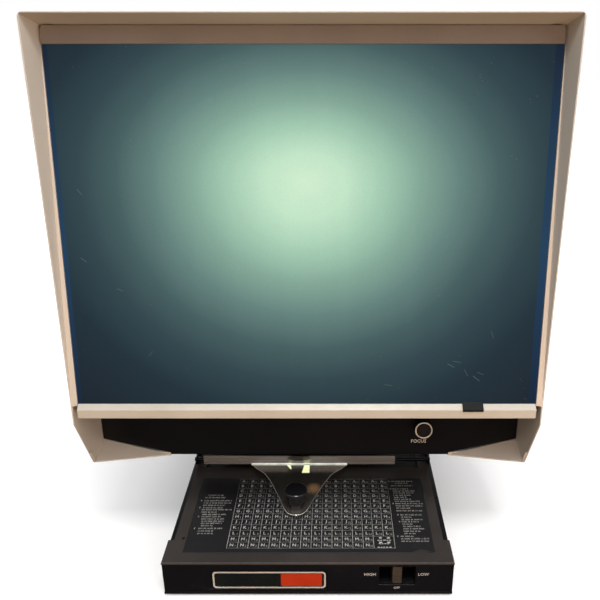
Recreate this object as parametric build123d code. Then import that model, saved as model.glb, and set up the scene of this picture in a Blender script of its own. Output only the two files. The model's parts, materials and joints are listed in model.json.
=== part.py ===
from build123d import *
import math
import os

os.makedirs("parts", exist_ok=True)

# ---------------------------------------------------------------------------
# Desktop microfiche reader: a low base with a fiche stage, and a wide hood
# carried over it by a rear column.  Millimetres.  While it is drawn, X is to
# the right, Y runs from the front face of the base to the back, and Z = 0 is
# the underside of the base.  save() then moves everything so that the origin
# is the middle of the footprint, on the surface the feet stand on.
# ---------------------------------------------------------------------------

# base
BASE_W = 237.5          # width of the base
BASE_D = 392.0          # depth of base and hood
BASE_H = 33.0           # underside to deck
WALL = 2.5              # side walls of the base pan
FLOOR_T = 2.0
DECK_T = 2.0
LEDGE_Z = 27.3          # side ledges that the carriage shoes run on
DECK_IN = 113.5         # half width of the raised deck between the ledges
LEDGE_Y0, LEDGE_Y1 = 26.0, 316.0
FOOT_H = 2.0
FOOT_R = 9.0
FOOT_X, FOOT_YF, FOOT_YR = 98.0, 22.0, 370.0

# optics
AXIS_Y = 200.0          # optical axis, over the stage
LAMP_Z = 16.5           # height of the lamp axis in the base

# hood
HOOD_W = 367.6
HOOD_HW = HOOD_W / 2
HOOD_REAR_HW = 128.0    # half width at the back
HOOD_TAPER_Y = 110.0    # the sides run parallel up to here
HOOD_T = 2.8
RIM_TOP = (50.5, 442.0)
RIM_BEND = (30.5, 144.0)
RIM_T = 0.8             # the walls thin out to this at the rim
HOOD_LOW = (55.8, 90.0)
HOOD_REAR_LOW = (392.0, 90.0)
HOOD_REAR_MID = (392.0, 190.0)
HOOD_REAR_UP = (345.0, 398.0)
HOOD_TOP_REAR = (300.0, 434.0)
FLANGE_Z = 92.6         # top of the bottom flange

# screen
SCR_W = 355.6
SCR_LO = (31.5, 161.0)  # front surface, at the top edge of the trim
SCR_HI = (68.0, 421.7)  # front surface, at the lower edge of the top strip
SCR_T = 3.0

# stage carriage at rest: the carrier stands left of and in front of the axis
CAR_X = -12.5
CAR_Y = 188.0
ROD_Z = 36.7
ROD_R = 2.0
ROD_YF, ROD_YR = 134.5, 241.8
RUN = 0.05              # running clearance on a radius

# lid hinge
LID_Y, LID_Z = 247.0, 45.7

# focus drive
PANEL_LEAN = math.radians(8.5)
PANEL_Y0, PANEL_Z0 = 66.0, 91.0
FOC_X = 96.0
FOC_Z = 120.3
ECC = 1.5               # throw of the eccentric pin

# switch
SW_X, SW_Y = 72.8, 13.0

YC = BASE_D / 2         # shift to the middle of the footprint

NODES = {}


def V(*p):
    return Vector(*p)


def box(x0, x1, y0, y1, z0, z1):
    return Pos((x0 + x1) / 2, (y0 + y1) / 2, (z0 + z1) / 2) * Box(
        abs(x1 - x0), abs(y1 - y0), abs(z1 - z0))


def prism(pts, direction):
    f = Face(Wire.make_polygon([V(*p) for p in pts], close=True))
    return Solid.extrude(f, V(*direction))


def prism_yz(pts, x0, x1):
    return prism([(x0, y, z) for y, z in pts], (x1 - x0, 0, 0))


def prism_xy(pts, z0, z1):
    return prism([(x, y, z0) for x, y in pts], (0, 0, z1 - z0))


def prism_xz(pts, y0, y1):
    return prism([(x, y0, z) for x, z in pts], (0, y1 - y0, 0))


def cyl(c0, c1, r):
    a, b = V(*c0), V(*c1)
    d = b - a
    return Solid.make_cylinder(r, d.length, Plane(origin=a, z_dir=d))


def cone(c0, c1, r0, r1):
    a, b = V(*c0), V(*c1)
    d = b - a
    return Solid.make_cone(r0, r1, d.length, Plane(origin=a, z_dir=d))


def rbox_xz(x0, x1, z0, z1, y0, y1, r):
    """plate in the XZ plane with rounded corners"""
    pl = Plane(origin=((x0 + x1) / 2, y0, (z0 + z1) / 2), x_dir=(1, 0, 0), z_dir=(0, 1, 0))
    sk = pl * RectangleRounded(x1 - x0, z1 - z0, r)
    return extrude(sk, amount=y1 - y0, dir=(0, 1, 0))


def rbox_xy(x0, x1, y0, y1, z0, z1, r):
    pl = Plane(origin=((x0 + x1) / 2, (y0 + y1) / 2, z0))
    sk = pl * RectangleRounded(x1 - x0, y1 - y0, r)
    return extrude(sk, amount=z1 - z0, dir=(0, 0, 1))


def group(items):
    return Compound(children=[i for i in items])


def solids_of(shape):
    return shape.solids()


def save(name, shape):
    NODES[name] = shape
    moved = Pos(0, -YC, FOOT_H) * shape
    export_step(moved, f"parts/{name}.step")


def mirror_x(shape):
    return shape.mirror(Plane.YZ)


HB = BASE_W / 2

# ---------------------------------------------------------------------------
# Base pan: floor, side walls with an inward ledge, rear wall, low front lip
# ---------------------------------------------------------------------------
pan = box(-HB, HB, 3.2, BASE_D, 0, FLOOR_T)
pan += box(-HB, HB, 0, 3.2, 0, 2.2)
for s in (-1, 1):
    pan += box(s * (HB - WALL), s * HB, 3.2, BASE_D, FLOOR_T, LEDGE_Z)
    pan += box(s * 110.0, s * HB, 3.2, BASE_D, LEDGE_Z - 2.0, LEDGE_Z)
pan += box(-HB, HB, BASE_D - WALL, BASE_D, FLOOR_T, LEDGE_Z)
pan += box(-HB + WALL, HB - WALL, 3.2, 5.2, FLOOR_T, 7.0)
# opening for the power inlet, cooling slots under the lamp
pan -= box(66, 94, BASE_D - WALL - 1, BASE_D + 1, 4.2, 24.2)
for i in range(7):
    y = 328 + i * 8
    pan -= box(22, 58, y, y + 3, -1, FLOOR_T + 1)
    pan -= box(-58, -22, y, y + 3, -1, FLOOR_T + 1)
save("base_pan", pan)

# rubber feet
feet = []
for x in (-FOOT_X, FOOT_X):
    for y in (FOOT_YF, FOOT_YR):
        f = cyl((x, y, -FOOT_H), (x, y, 0), FOOT_R)
        f = fillet(f.edges().group_by(Axis.Z)[0], 0.6)
        feet.append(f)
save("rubber_feet", group(feet))

# ---------------------------------------------------------------------------
# Deck cover: brown-black top with the raised deck between two side ledges
# ---------------------------------------------------------------------------
DT0 = BASE_H - DECK_T
deck = box(-HB, HB, 0, LEDGE_Y0, DT0, BASE_H)
deck += box(-DECK_IN, DECK_IN, LEDGE_Y0, LEDGE_Y1, DT0, BASE_H)
deck += box(-HB, HB, LEDGE_Y1, BASE_D, DT0, BASE_H)
for s in (-1, 1):
    deck += box(s * (HB - WALL), s * HB, 3.2, LEDGE_Y0, LEDGE_Z, DT0)
    deck += box(s * 110.0, s * HB, LEDGE_Y0 - 2.5, LEDGE_Y0, LEDGE_Z, DT0)
    deck += box(s * 110.0, s * DECK_IN, LEDGE_Y0, LEDGE_Y1, LEDGE_Z, DT0)
    deck += box(s * 110.0, s * HB, LEDGE_Y1, LEDGE_Y1 + 2.5, LEDGE_Z, DT0)
    deck += box(s * (HB - WALL), s * HB, LEDGE_Y1, BASE_D, LEDGE_Z, DT0)
deck += box(-HB, HB, BASE_D - WALL, BASE_D, LEDGE_Z, DT0)
# soft upper edges at the front and the sides
front_edges = [e for e in deck.edges()
               if abs(e.center().Z - BASE_H) < 1e-3 and e.center().Y < 14
               and (abs(e.center().Y) < 1e-3 or abs(abs(e.center().X) - HB) < 1e-3)]
deck = fillet(front_edges, 0.8)
front_v = [e for e in deck.edges().filter_by(Axis.Z)
           if abs(e.center().Y) < 1e-3 and abs(abs(e.center().X) - HB) < 1e-3]
# grooves that hold the carriage down
for s in (-1, 1):
    deck -= box(s * 112.2, s * (DECK_IN + 1), 70, 314, 28.6, 30.4)
# stage opening, index plate recess, column opening, cover hole
STAGE = (-104.0, 104.0, 126.0, 312.0)
deck -= box(STAGE[0], STAGE[1], STAGE[2], STAGE[3], DT0 - 1, BASE_H + 1)
IDX = (-103.2, 104.2, 11.5, 109.1)
deck -= box(IDX[0] - 0.3, IDX[1] + 0.3, IDX[2] - 0.3, IDX[3] + 0.3, BASE_H - 0.5, BASE_H + 1)
deck -= box(0, 70, 326, 382, DT0 - 1, BASE_H + 1)
deck -= cyl((-106.3, 28.3, DT0 - 1), (-106.3, 28.3, BASE_H + 1), 1.4)
save("deck_cover", deck)

# index plate: a thin printed plate let into the deck, with a finger notch
idx = box(IDX[0], IDX[1], IDX[2], IDX[3], BASE_H - 0.5, BASE_H + 0.1)
idx -= cyl((93.5, IDX[2] - 10.0, BASE_H - 2), (93.5, IDX[2] - 10.0, BASE_H + 2), 13.0)
save("index_plate", idx)

# stage plate under the deck opening, with the seat of the field lens
stage = box(-108, 108, 123, 315.5, DT0 - 2.0, DT0)
stage -= cyl((0, AXIS_Y, DT0 - 3), (0, AXIS_Y, DT0 + 1), 12.0)
stage -= cyl((0, AXIS_Y, DT0 - 1.2), (0, AXIS_Y, DT0 + 1), 13.5)
save("stage_plate", stage)

cap_h, cap_r = 1.5, 13.3
R_f = (cap_r ** 2 + cap_h ** 2) / (2 * cap_h)
z_f = DT0 - 0.2
fl = cyl((0, AXIS_Y, DT0 - 1.2), (0, AXIS_Y, z_f), cap_r)
dome = Pos(0, AXIS_Y, z_f + cap_h - R_f) * Sphere(R_f)
dome = dome & box(-cap_r * 1.01, cap_r * 1.01, AXIS_Y - 14, AXIS_Y + 14, z_f, z_f + 3)
fl = fl + dome
save("field_lens", fl)

# ---------------------------------------------------------------------------
# Front fascia with a shallow nameplate recess and the switch opening
# ---------------------------------------------------------------------------
fas = rbox_xz(-HB + 0.2, HB - 0.2, 2.4, DT0 - 0.2, 0.6, 3.1, 1.0)
fas -= box(58.0, 87.6, -1, 5, 9.4, 28.6)
fas -= rbox_xz(-79.6, 16.2, 4.5, 25.0, 0.2, 1.4, 3.4)
save("front_fascia", fas)

npl = rbox_xz(-78.1, 14.7, 5.9, 23.6, 0.5, 1.4, 3.0)
save("nameplate", npl)

# switch housing: a box open to the front, with a pivot hole top and bottom
sh = box(56.6, 89.0, 3.1, 21.0, 8.2, 29.8)
sh -= box(58.0, 87.6, 3.0, 19.5, 9.4, 28.6)
sh -= cyl((SW_X, SW_Y, 7), (SW_X, SW_Y, 31), 1.5 + RUN)
save("switch_housing", sh)

# switch lever: a paddle on a trunnion
lv = cyl((SW_X, SW_Y, 9.8), (SW_X, SW_Y, 28.2), 3.9)
pad = box(SW_X - 4.0, SW_X + 4.0, 1.3, SW_Y, 10.4, 27.4)
pad = fillet(pad.edges().filter_by(Axis.Z).group_by(Axis.Y)[0], 1.2)
lv = lv + pad
for k in range(4):
    z = 14.0 + k * 3.2
    lv -= box(SW_X - 5, SW_X + 5, 1.0, 1.75, z, z + 1.1)
lv += cyl((SW_X, SW_Y, 8.4), (SW_X, SW_Y, 29.6), 1.5)
save("switch_lever", lv)

# ---------------------------------------------------------------------------
# Lamp house in the back of the base
# ---------------------------------------------------------------------------
lh = box(-17, 17, 318.5, 384, FLOOR_T, 3.5)
for s in (-1, 1):
    lh += box(s * 15.5, s * 17, 318.5, 384, 3.5, 27)
lh += box(-15.5, 15.5, 319, 325, 3.5, 30)
lh -= cyl((0, 318, LAMP_Z), (0, 322, LAMP_Z), 10.5)
lh -= cyl((0, 321, LAMP_Z), (0, 326, LAMP_Z), 12.1)
save("lamp_house", lh)

def lens_y(y0, thick, r, sag, z):
    """plano-convex lens, flat to the front, bulging to the back"""
    R = (r * r + sag * sag) / (2 * sag)
    a = cyl((0, y0, z), (0, y0 + thick, z), r)
    s = Pos(0, y0 + thick + sag - R, z) * Sphere(R)
    s = s & box(-r - 1, r + 1, y0 + thick, y0 + thick + sag + 1, z - r - 1, z + r + 1)
    return a + s

save("condenser_lens", lens_y(321.0, 2.5, 12.0, 4.5, LAMP_Z))
save("heat_glass", box(-15.5, 15.5, 331, 334, 3.5, 27.5))

# lamp: glass capsule with two pins going into the socket
lamp = cyl((0, 344, LAMP_Z), (0, 361.5, LAMP_Z), 5.0)
lamp = fillet(lamp.edges().group_by(Axis.Y)[0], 3.5)
lamp += box(-4.2, 4.2, 361.5, 365, LAMP_Z - 2.0, LAMP_Z + 2.0)
for s in (-1, 1):
    lamp += cyl((s * 2.6, 364.5, LAMP_Z), (s * 2.6, 372, LAMP_Z), 0.6)
save("lamp", lamp)

# lamp reflector: a dish round the back of the lamp
pts_o = [(8.0, 358.5), (10.5, 355.5), (11.9, 350.5), (12.3, 345.0)]
prof = [(6.0, 360.5)] + [(r, y) for r, y in pts_o] + [(r - 1.0, y) for r, y in reversed(pts_o)] + [(6.0, 359.0)]
f = Face(Wire.make_polygon([V(r, y, 0) for r, y in prof], close=True))
dish = Solid.revolve(f, 360, Axis((0, 0, 0), (0, 1, 0)))
dish = Pos(0, 0, LAMP_Z) * dish
save("lamp_reflector", dish)

sock = box(-8, 8, 366, 380, 3.5, 25)
sock += box(-11, 11, 369, 377, 3.5, 8)
for s in (-1, 1):
    sock -= cyl((s * 2.6, 365, LAMP_Z), (s * 2.6, 374, LAMP_Z), 0.9)
save("lamp_socket", sock)

# stage mirror at 45 degrees under the field lens, on a wedge
def tilted_plate(cy, cz, ny, nz, half_len, half_w, thick):
    """plate whose front face is centred on (cy, cz) with normal (ny, nz)"""
    ty, tz = -nz, ny
    pts = []
    for a, b in ((-half_len, 0), (half_len, 0), (half_len, -thick), (-half_len, -thick)):
        pts.append((cy + a * ty + b * ny, cz + a * tz + b * nz))
    return prism_yz(pts, -half_w, half_w)

q = math.sqrt(0.5)
save("stage_mirror", tilted_plate(AXIS_Y, 15.5, q, q, 16.5, 14, 2.0))
save("stage_mirror_block",
     prism_yz([(181, FLOOR_T), (210.2, FLOOR_T), (210.2, FLOOR_T + 0.4), (186.9, 25.7), (181, 25.7)], -14, 14))

# power inlet in the rear wall
inl = box(66, 94, 371, 391.8, 4.2, 24.2)
inl -= box(68.2, 91.8, 375, 393, 6.2, 22.2)
save("power_inlet", inl)
save("inlet_pins", group([box(x - 1.0, x + 1.0, 375, 387, 12.6, 16.6) for x in (73.0, 80.0, 87.0)]))

# ---------------------------------------------------------------------------
# Rear column that carries the hood
# ---------------------------------------------------------------------------
CX, CY0, CY1, CZ1 = 85.0, 318.0, 390.0, 92.8
col = rbox_xy(-CX, CX, CY0, CY1, BASE_H, CZ1, 7.0)
col -= rbox_xy(-CX + 2.5, CX - 2.5, CY0 + 2.5, CY1 - 2.5, BASE_H - 1, CZ1 + 1, 4.5)
for s in (-1, 1):
    col += box(s * (CX - 10), s * (CX - 2.4), CY0 + 7, CY1 - 7, BASE_H, BASE_H + 2.5)
    col += box(s * (CX - 10), s * (CX - 2.4), CY0 + 7, CY1 - 7, CZ1 - 2.5, CZ1)
for i in range(9):
    x = -56 + i * 14
    col -= box(x - 1.6, x + 1.6, CY1 - 4, CY1 + 1, 46, 80)
save("rear_column", col)

# mains transformer on the deck inside the column
TZ = BASE_H
core = box(-72, -12, 338, 368, TZ, TZ + 50)
core -= box(-62, -52, 337, 369, TZ + 10, TZ + 40)
core -= box(-32, -22, 337, 369, TZ + 10, TZ + 40)
save("transformer_core", core)
coil = box(-61.7, -22.3, 330, 376, TZ + 10.4, TZ + 39.6)
coil -= box(-52.2, -31.8, 337.7, 368.3, TZ + 5, TZ + 45)
save("transformer_coil", coil)

# ---------------------------------------------------------------------------
# Hood
# ---------------------------------------------------------------------------
def hw(y, inset=0.0):
    """half width of the hood at depth y"""
    if y <= HOOD_TAPER_Y:
        return HOOD_HW - inset
    k = (HOOD_HW - HOOD_REAR_HW) / (BASE_D - HOOD_TAPER_Y)
    return HOOD_HW - k * (y - HOOD_TAPER_Y) - inset


def plan(inset, y0, y1, z0, z1):
    p = [(-hw(y0, inset), y0), (hw(y0, inset), y0), (hw(HOOD_TAPER_Y, inset), HOOD_TAPER_Y),
         (hw(y1, inset), y1), (-hw(y1, inset), y1), (-hw(HOOD_TAPER_Y, inset), HOOD_TAPER_Y)]
    return prism_xy(p, z0, z1)


def offset_chain(pts, d):
    """polyline moved to its left-hand side by d (points are (y, z))"""
    out = []
    n = len(pts)
    dirs = []
    for i in range(n - 1):
        dy, dz = pts[i + 1][0] - pts[i][0], pts[i + 1][1] - pts[i][1]
        L = math.hypot(dy, dz)
        dirs.append((dy / L, dz / L))
    for i in range(n):
        if i == 0 or i == n - 1:
            u = dirs[0] if i == 0 else dirs[-1]
            out.append((pts[i][0] - u[1] * d, pts[i][1] + u[0] * d))
        else:
            a, b = dirs[i - 1], dirs[i]
            na, nb = (-a[1], a[0]), (-b[1], b[0])
            k = d / (1 + na[0] * nb[0] + na[1] * nb[1])
            out.append((pts[i][0] + k * (na[0] + nb[0]), pts[i][1] + k * (na[1] + nb[1])))
    return out


profile = [RIM_TOP, RIM_BEND, HOOD_LOW, HOOD_REAR_LOW, HOOD_REAR_MID, HOOD_REAR_UP, HOOD_TOP_REAR]
outer = prism_yz(profile, -200, 200) & plan(0, 0, 420, 0, 480)
if isinstance(outer, (list, ShapeList)):
    outer = outer[0]
outer = outer.solids()[0] if hasattr(outer, "solids") else outer
# rounded long edges along the top and down the back
edge_sel = []
for e in outer.edges():
    c = e.center()
    on_side = abs(abs(c.X) - hw(c.Y)) < 0.5
    if on_side and c.Z > 395 and c.Y > 51.5:
        edge_sel.append(e)
try:
    outer_r = fillet(edge_sel, 3.6)
    print("hood edges rounded:", len(edge_sel), outer_r.is_valid)
except Exception as ex:
    print("hood fillet fell back:", ex)
    outer_r = outer
outer = outer_r

# inside: open to the front above the flange and open at the back, where the
# rear cover closes it
cav_pts = [(0, FLANGE_Z), (430, FLANGE_Z), (430, 190.0), (430, 300), (382, 397.2)]
top_in = [(343.2, 395.2), (298.9, 430.9), (67.2, 434.4), (RIM_TOP[0], RIM_TOP[1] - RIM_T),
          (0, RIM_TOP[1] - RIM_T + 20)]
cav = prism_yz([(0, FLANGE_Z), (430, FLANGE_Z), (430, 380.0), (343.4, 395.0)] + top_in[1:], -200, 200)
cav = cav & plan(HOOD_T, 0, 425, 0, 480)
cav = cav.solids()[0]
lip_edges = [e for e in cav.edges() if abs(abs(e.center().X) - hw(0, HOOD_T)) < 0.1 and e.center().Z > 432
             and 20 < e.center().Y < 66]
try:
    cav = fillet(lip_edges, 3.0)
    print("lip corners rounded:", len(lip_edges), cav.is_valid)
except Exception as ex:
    print("lip fillet fell back:", ex)
shell = outer - cav
# bottom: two side flanges, cut away between them and in front of the panel
fl_cut = prism_xy([(-120, 20), (120, 20), (120, 66), (120, 130), (88, 396), (-88, 396), (-120, 130), (-120, 66)],
                  80, FLANGE_Z + 0.5)
shell = shell - fl_cut
for s in (-1, 1):
    shell = shell - prism_xy([(s * 120, 20), (s * (HOOD_HW - HOOD_T), 20),
                              (s * (HOOD_HW - HOOD_T), 56.3), (s * 120, 66)], 80, FLANGE_Z + 0.5)
sl = math.hypot(SCR_HI[0] - SCR_LO[0], SCR_HI[1] - SCR_LO[1])
ts = ((SCR_HI[0] - SCR_LO[0]) / sl, (SCR_HI[1] - SCR_LO[1]) / sl)
ns = (-ts[1], ts[0])          # outward normal of the screen, to the front


def scr(v, w):
    """point (y, z) at v along the screen from its lower edge, w in front of it"""
    return (SCR_LO[0] + v * ts[0] + w * ns[0], SCR_LO[1] + v * ts[1] + w * ns[1])


def screen_slab(v0, v1, w0, w1, x0, x1):
    return prism_yz([scr(v0, w0), scr(v1, w0), scr(v1, w1), scr(v0, w1)], x0, x1)


V_TOP = 275.4


def hull8(a, b, c, d, x):
    """solid between four points in order round a face and the same four moved to the plane X = x;
    the face a-b-c-d is made of the triangles a-b-d and b-c-d"""
    A, B, C, D = [(x, p[1], p[2]) for p in (a, b, c, d)]
    loops = [(a, b, d), (b, c, d), (A, B, C, D), (a, b, B, A), (b, c, C, B), (c, d, D, C), (d, a, A, D)]
    faces = [Face(Wire.make_polygon([V(*q) for q in lp], close=True)) for lp in loops]
    so = Solid(Shell(faces))
    return so if so.volume > 0 else Solid(Shell([-f for f in faces]))


def rim(z):
    """depth of the rim line at height z, above the bend"""
    return RIM_BEND[0] + (z - RIM_BEND[1]) * (RIM_TOP[0] - RIM_BEND[0]) / (RIM_TOP[1] - RIM_BEND[1])


# the walls flare from the side edges of the screen out to a thin rim
XS, XR = 178.3, HOOD_HW - RIM_T
low_dir = (HOOD_LOW[0] - RIM_BEND[0], HOOD_LOW[1] - RIM_BEND[1])
for s in (-1, 1):
    lip = scr(V_TOP + 0.6, 0.3)
    cheek = prism_yz([(rim(160.0), 160.0), (rim(160.0) + 4.5, 160.0), scr(V_TOP + 1.6, -3.1), lip,
                      (RIM_TOP[0], RIM_TOP[1] - 0.6)], s * XS, s * (HOOD_HW - HOOD_T + 0.4))
    shell = shell + cheek
    z0 = 160.0
    flare = hull8((s * XR, rim(441.2) - 0.4, 441.4), (s * XR, rim(z0 - 1) - 0.4, z0 - 1), (s * XS, scr(-1.0, 0.3)[0], z0 - 1),
                  (s * XS, lip[0], lip[1]), s * 168.0)
    shell = shell - flare
    # the same thinning below the screen, down to the flange
    z1 = 159.5
    for (ya, za), (yb, zb) in (((rim(z1), z1), RIM_BEND), (RIM_BEND, (HOOD_LOW[0], HOOD_LOW[1]))):
        ea, eb = (XR - 0.15, ya - 0.3, za), (XR - 0.15, yb - 0.3, zb + (0.9 if zb < 100 else 0))
        cut = hull8((s * ea[0], ea[1], ea[2]), (s * eb[0], eb[1], eb[2]),
                    (s * (HOOD_HW - HOOD_T - 0.05), eb[1] + 14, eb[2]), (s * (HOOD_HW - HOOD_T - 0.05), ea[1] + 14, ea[2]),
                    s * 168.0)
        shell = shell - cut
    # the flange rises towards the wall in a flat triangle and thins out at its front edge
    f1, f2, f3 = (s * (HOOD_HW - 0.4), 55.4, 90.8), (s * 119.5, 66.0, 91.0), (s * (HOOD_HW - 2.4), 76.4, 99.8)
    tri = prism_xy([(f1[0], f1[1]), (f2[0], f2[1]), (f3[0], f3[1] + 0.4)], 90.0, 101.0)
    n = (V(*f2) - V(*f1)).cross(V(*f3) - V(*f1))
    n = n if n.Z > 0 else -n
    web = split(tri, bisect_by=Plane(origin=f1, z_dir=n), keep=Keep.BOTTOM) & outer
    shell = (shell - prism_xy([(s * (HOOD_HW - 2.9), 50), (s * 119.9, 50), (f2[0], f2[1]), (s * (HOOD_HW - 2.9), f3[1])],
                                90.75, 92.7)) + web
# seat for the screen: ribs down both sides and across the top, behind it
for s in (-1, 1):
    rib = screen_slab(2.0, 274.0, -5.6, -3.1, s * 173.0, s * (HOOD_HW - HOOD_T + 0.4))
    shell = shell + rib
rib_t = screen_slab(265.5, 277.0, -5.6, -3.1, -179.5, 179.5)
shell = shell + (rib_t & outer)
# seat for the rear cover: ribs inside the side walls
rear_line = [HOOD_REAR_LOW, HOOD_REAR_MID, HOOD_REAR_UP]
band = lambda a, b: offset_chain(rear_line, a) + list(reversed(offset_chain(rear_line, b)))
seat = prism_yz(band(5.2, 8.2), -200, 200)
seat = seat & plan(HOOD_T - 0.4, 0, 425, FLANGE_Z - 0.4, 392)
seat = seat - plan(HOOD_T + 9, 0, 426, 0, 480)
shell = shell + seat

HEAD_R, HEAD_H, SHANK_R = 3.2, 1.9, 1.5
scr_pts = []
for z in (110.0, 184.0):
    for s in (-1, 1):
        scr_pts.append((s * (hw(389) - HOOD_T - 4.5), 392.0, z, 1.0, 0.0))
ry, rz = HOOD_REAR_UP[0] - HOOD_REAR_MID[0], HOOD_REAR_UP[1] - HOOD_REAR_MID[1]
rl = math.hypot(ry, rz)
nry, nrz = rz / rl, -ry / rl
for k in (0.45, 0.90):
    y, z = HOOD_REAR_MID[0] + k * ry, HOOD_REAR_MID[1] + k * rz
    for s in (-1, 1):
        scr_pts.append((s * (hw(y - 3) - HOOD_T - 4.5), y, z, nry, nrz))


def along(p, d):
    """point at depth d inside the rear profile"""
    return (p[0], p[1] - p[3] * d, p[2] - p[4] * d)


screws = []
for p in scr_pts:
    hole = cyl(along(p, -1), along(p, 12), SHANK_R + 0.1)
    shell = shell - hole
    head = cyl(along(p, 2.6), along(p, 2.6 - HEAD_H), HEAD_R)
    head = fillet(head.edges().filter_by(GeomType.CIRCLE).sort_by_distance(Vertex(*along(p, 2.6 - HEAD_H)))[0], 0.8)
    shank = cyl(along(p, 2.6), along(p, 8.0), SHANK_R)
    screws.append(head + shank)
save("hood_shell", shell)

rc = prism_yz(band(2.6, 5.1), -200, 200)
rc = rc & plan(HOOD_T + 0.4, 0, 425, FLANGE_Z + 0.3, 391.5)
for p in scr_pts:
    rc = rc - cyl(along(p, -1), along(p, 12), SHANK_R + 0.1)
save("rear_cover", rc)
save("cover_screws", group(screws))

# hood floor: steel plate on the flanges; carries the optics
fl_pts = [(-166, 84), (166, 84), (168, 120), (hw(383, 7), 383), (-hw(383, 7), 383), (-168, 120)]
floor = prism_xy(fl_pts, FLANGE_Z + 0.2, FLANGE_Z + 2.2)
FLT = FLANGE_Z + 2.2
floor -= cyl((0, AXIS_Y, 80), (0, AXIS_Y, 100), 15.2)
save("hood_floor", floor)

# ---------------------------------------------------------------------------
# Lower front panel: three facets under the screen and a shelf under it
# ---------------------------------------------------------------------------
PT = 2.0
ztop = 157.0


def py(z):
    return PANEL_Y0 + (z - PANEL_Z0) * math.tan(PANEL_LEAN)


XT = 176.5
XWALL = HOOD_HW - HOOD_T - 0.4
ZF = FLANGE_Z + 0.2
mid = prism([(-120, py(91), 91), (120, py(91), 91), (120, py(ZF), ZF), (XT, py(ztop), ztop),
             (-XT, py(ztop), ztop), (-120, py(ZF), ZF)], (0, PT, 0))
pnl = mid
for s in (-1, 1):
    A = (s * 120, py(ZF), ZF)
    B = (s * XWALL, 76.4, 100.1)
    C = (s * XT, py(ztop), ztop)
    D = (s * XWALL, 79.5, ztop)
    # facet A-B-C and the narrow upright strip B-D-C along the wall
    pnl = pnl + prism([A, B, C], (0, PT, 0))
    pnl = pnl + prism([B, D, C], (0, PT, 0))
pnl = pnl + prism([(-120, py(91), 91), (120, py(91), 91), (120, py(91) + 18, 91), (-120, py(91) + 18, 91)], (0, 0, 1.5))
pnl = pnl + prism_yz([(33.5, ztop - 2), (py(ztop) + PT, ztop - 2), (py(ztop) + PT, ztop), (33.5, ztop)], -XWALL, XWALL)
# bushing hole for the focus shaft
fa = V(0, -math.cos(PANEL_LEAN), math.sin(PANEL_LEAN))    # outward axis of the focus knob
fo = V(FOC_X, py(FOC_Z), FOC_Z)                            # where it leaves the panel


def foc(d, dx=0.0, dn=0.0):
    """point on the focus axis, d outside the panel"""
    up = V(0, math.sin(PANEL_LEAN), math.cos(PANEL_LEAN))
    p = fo + fa * d + V(dx, 0, 0) + up * dn
    return (p.X, p.Y, p.Z)


pnl = pnl - cyl(foc(10), foc(-10), 5.1)
save("lower_front_panel", pnl)

bush = cyl(foc(0.8), foc(0.0), 7.5) + cyl(foc(0.8), foc(-6.0), 5.0)
bush = bush - cyl(foc(2), foc(-8), 3.0 + RUN)
save("focus_bush", bush)

# ---------------------------------------------------------------------------
# Screen, top strip, bottom trim and its clip
# ---------------------------------------------------------------------------
save("screen", screen_slab(-3.4, 271.0, -SCR_T, 0.0, -SCR_W / 2, SCR_W / 2))
strip = screen_slab(263.4, V_TOP, 0.3, 2.8, -177.2, 177.2)
up_edges = [e for e in strip.edges() if abs(abs(e.center().X) - 177.2) < 1e-3
            and e.length < 3 and e.center().Z > 430]
strip = fillet(up_edges, 3.2)
save("top_strip", strip)

TR_Y0 = 26.5
trim_pts = [(TR_Y0, 151.9), (TR_Y0, 159.3), (30.7, 162.6), (31.4, 162.3), (30.7, 157.2), (33.3, 157.2), (33.3, 154.9),
            (29.3, 154.9), (29.3, 151.9)]
trim = prism_yz(trim_pts, -177.5, 177.5)
save("bottom_trim", trim)

clip_pts = [(TR_Y0 + 0.4, 159.75), (30.75, 163.1), (30.75, 164.3), (TR_Y0 - 0.9, 160.2), (TR_Y0 - 0.9, 158.4),
            (TR_Y0 - 0.12, 158.4), (TR_Y0 - 0.12, 159.42)]
clip = prism_yz(clip_pts, 120.5, 136.5)
save("screen_clip", clip)

# ---------------------------------------------------------------------------
# Projection mirrors in the hood
# ---------------------------------------------------------------------------
M1 = (200.0, 140.0, 0.8766, -0.4813)
save("first_mirror", tilted_plate(M1[0], M1[1], M1[2], M1[3], 34, 21, 3.0))
ty, tz = -M1[3], M1[2]
in_lo = (M1[0] - 3 * M1[2] - 34 * ty, M1[1] - 3 * M1[3] - 34 * tz)
in_hi = (M1[0] - 3 * M1[2] + 34 * ty, M1[1] - 3 * M1[3] + 34 * tz)
out_hi = (in_hi[0] - 2 * M1[2], in_hi[1] - 2 * M1[3])
out_lo = (in_lo[0] - 2 * M1[2], in_lo[1] - 2 * M1[3])
mb = prism_yz([(158, FLT), (in_lo[0], FLT), in_lo, in_hi, out_hi, out_lo, (out_lo[0], FLT + 2), (158, FLT + 2)], -21, 21)
save("first_mirror_bracket", mb)

M2 = (365.0, 245.0, -0.9776, -0.2104)
ty, tz = M2[3], -M2[2]
save("rear_mirror", tilted_plate(M2[0], M2[1], M2[2], M2[3], 68, 85, 4.0))
b_lo = (M2[0] - 4 * M2[2] - 68 * ty, M2[1] - 4 * M2[3] - 68 * tz)
b_hi = (M2[0] - 4 * M2[2] + 68 * ty, M2[1] - 4 * M2[3] + 68 * tz)
c_lo = (M2[0] - 5.5 * M2[2] - 68 * ty, M2[1] - 5.5 * M2[3] - 68 * tz)
c_hi = (M2[0] - 5.5 * M2[2] + 68 * ty, M2[1] - 5.5 * M2[3] + 68 * tz)
rb = prism_yz([(345, FLT), (c_lo[0], FLT), c_lo, c_hi, b_hi, b_lo, (b_lo[0], FLT + 2), (345, FLT + 2)], -80, 80)
rb = rb - box(-58, 58, 370, 400, 108, 168)
save("rear_mirror_bracket", rb)

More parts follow.
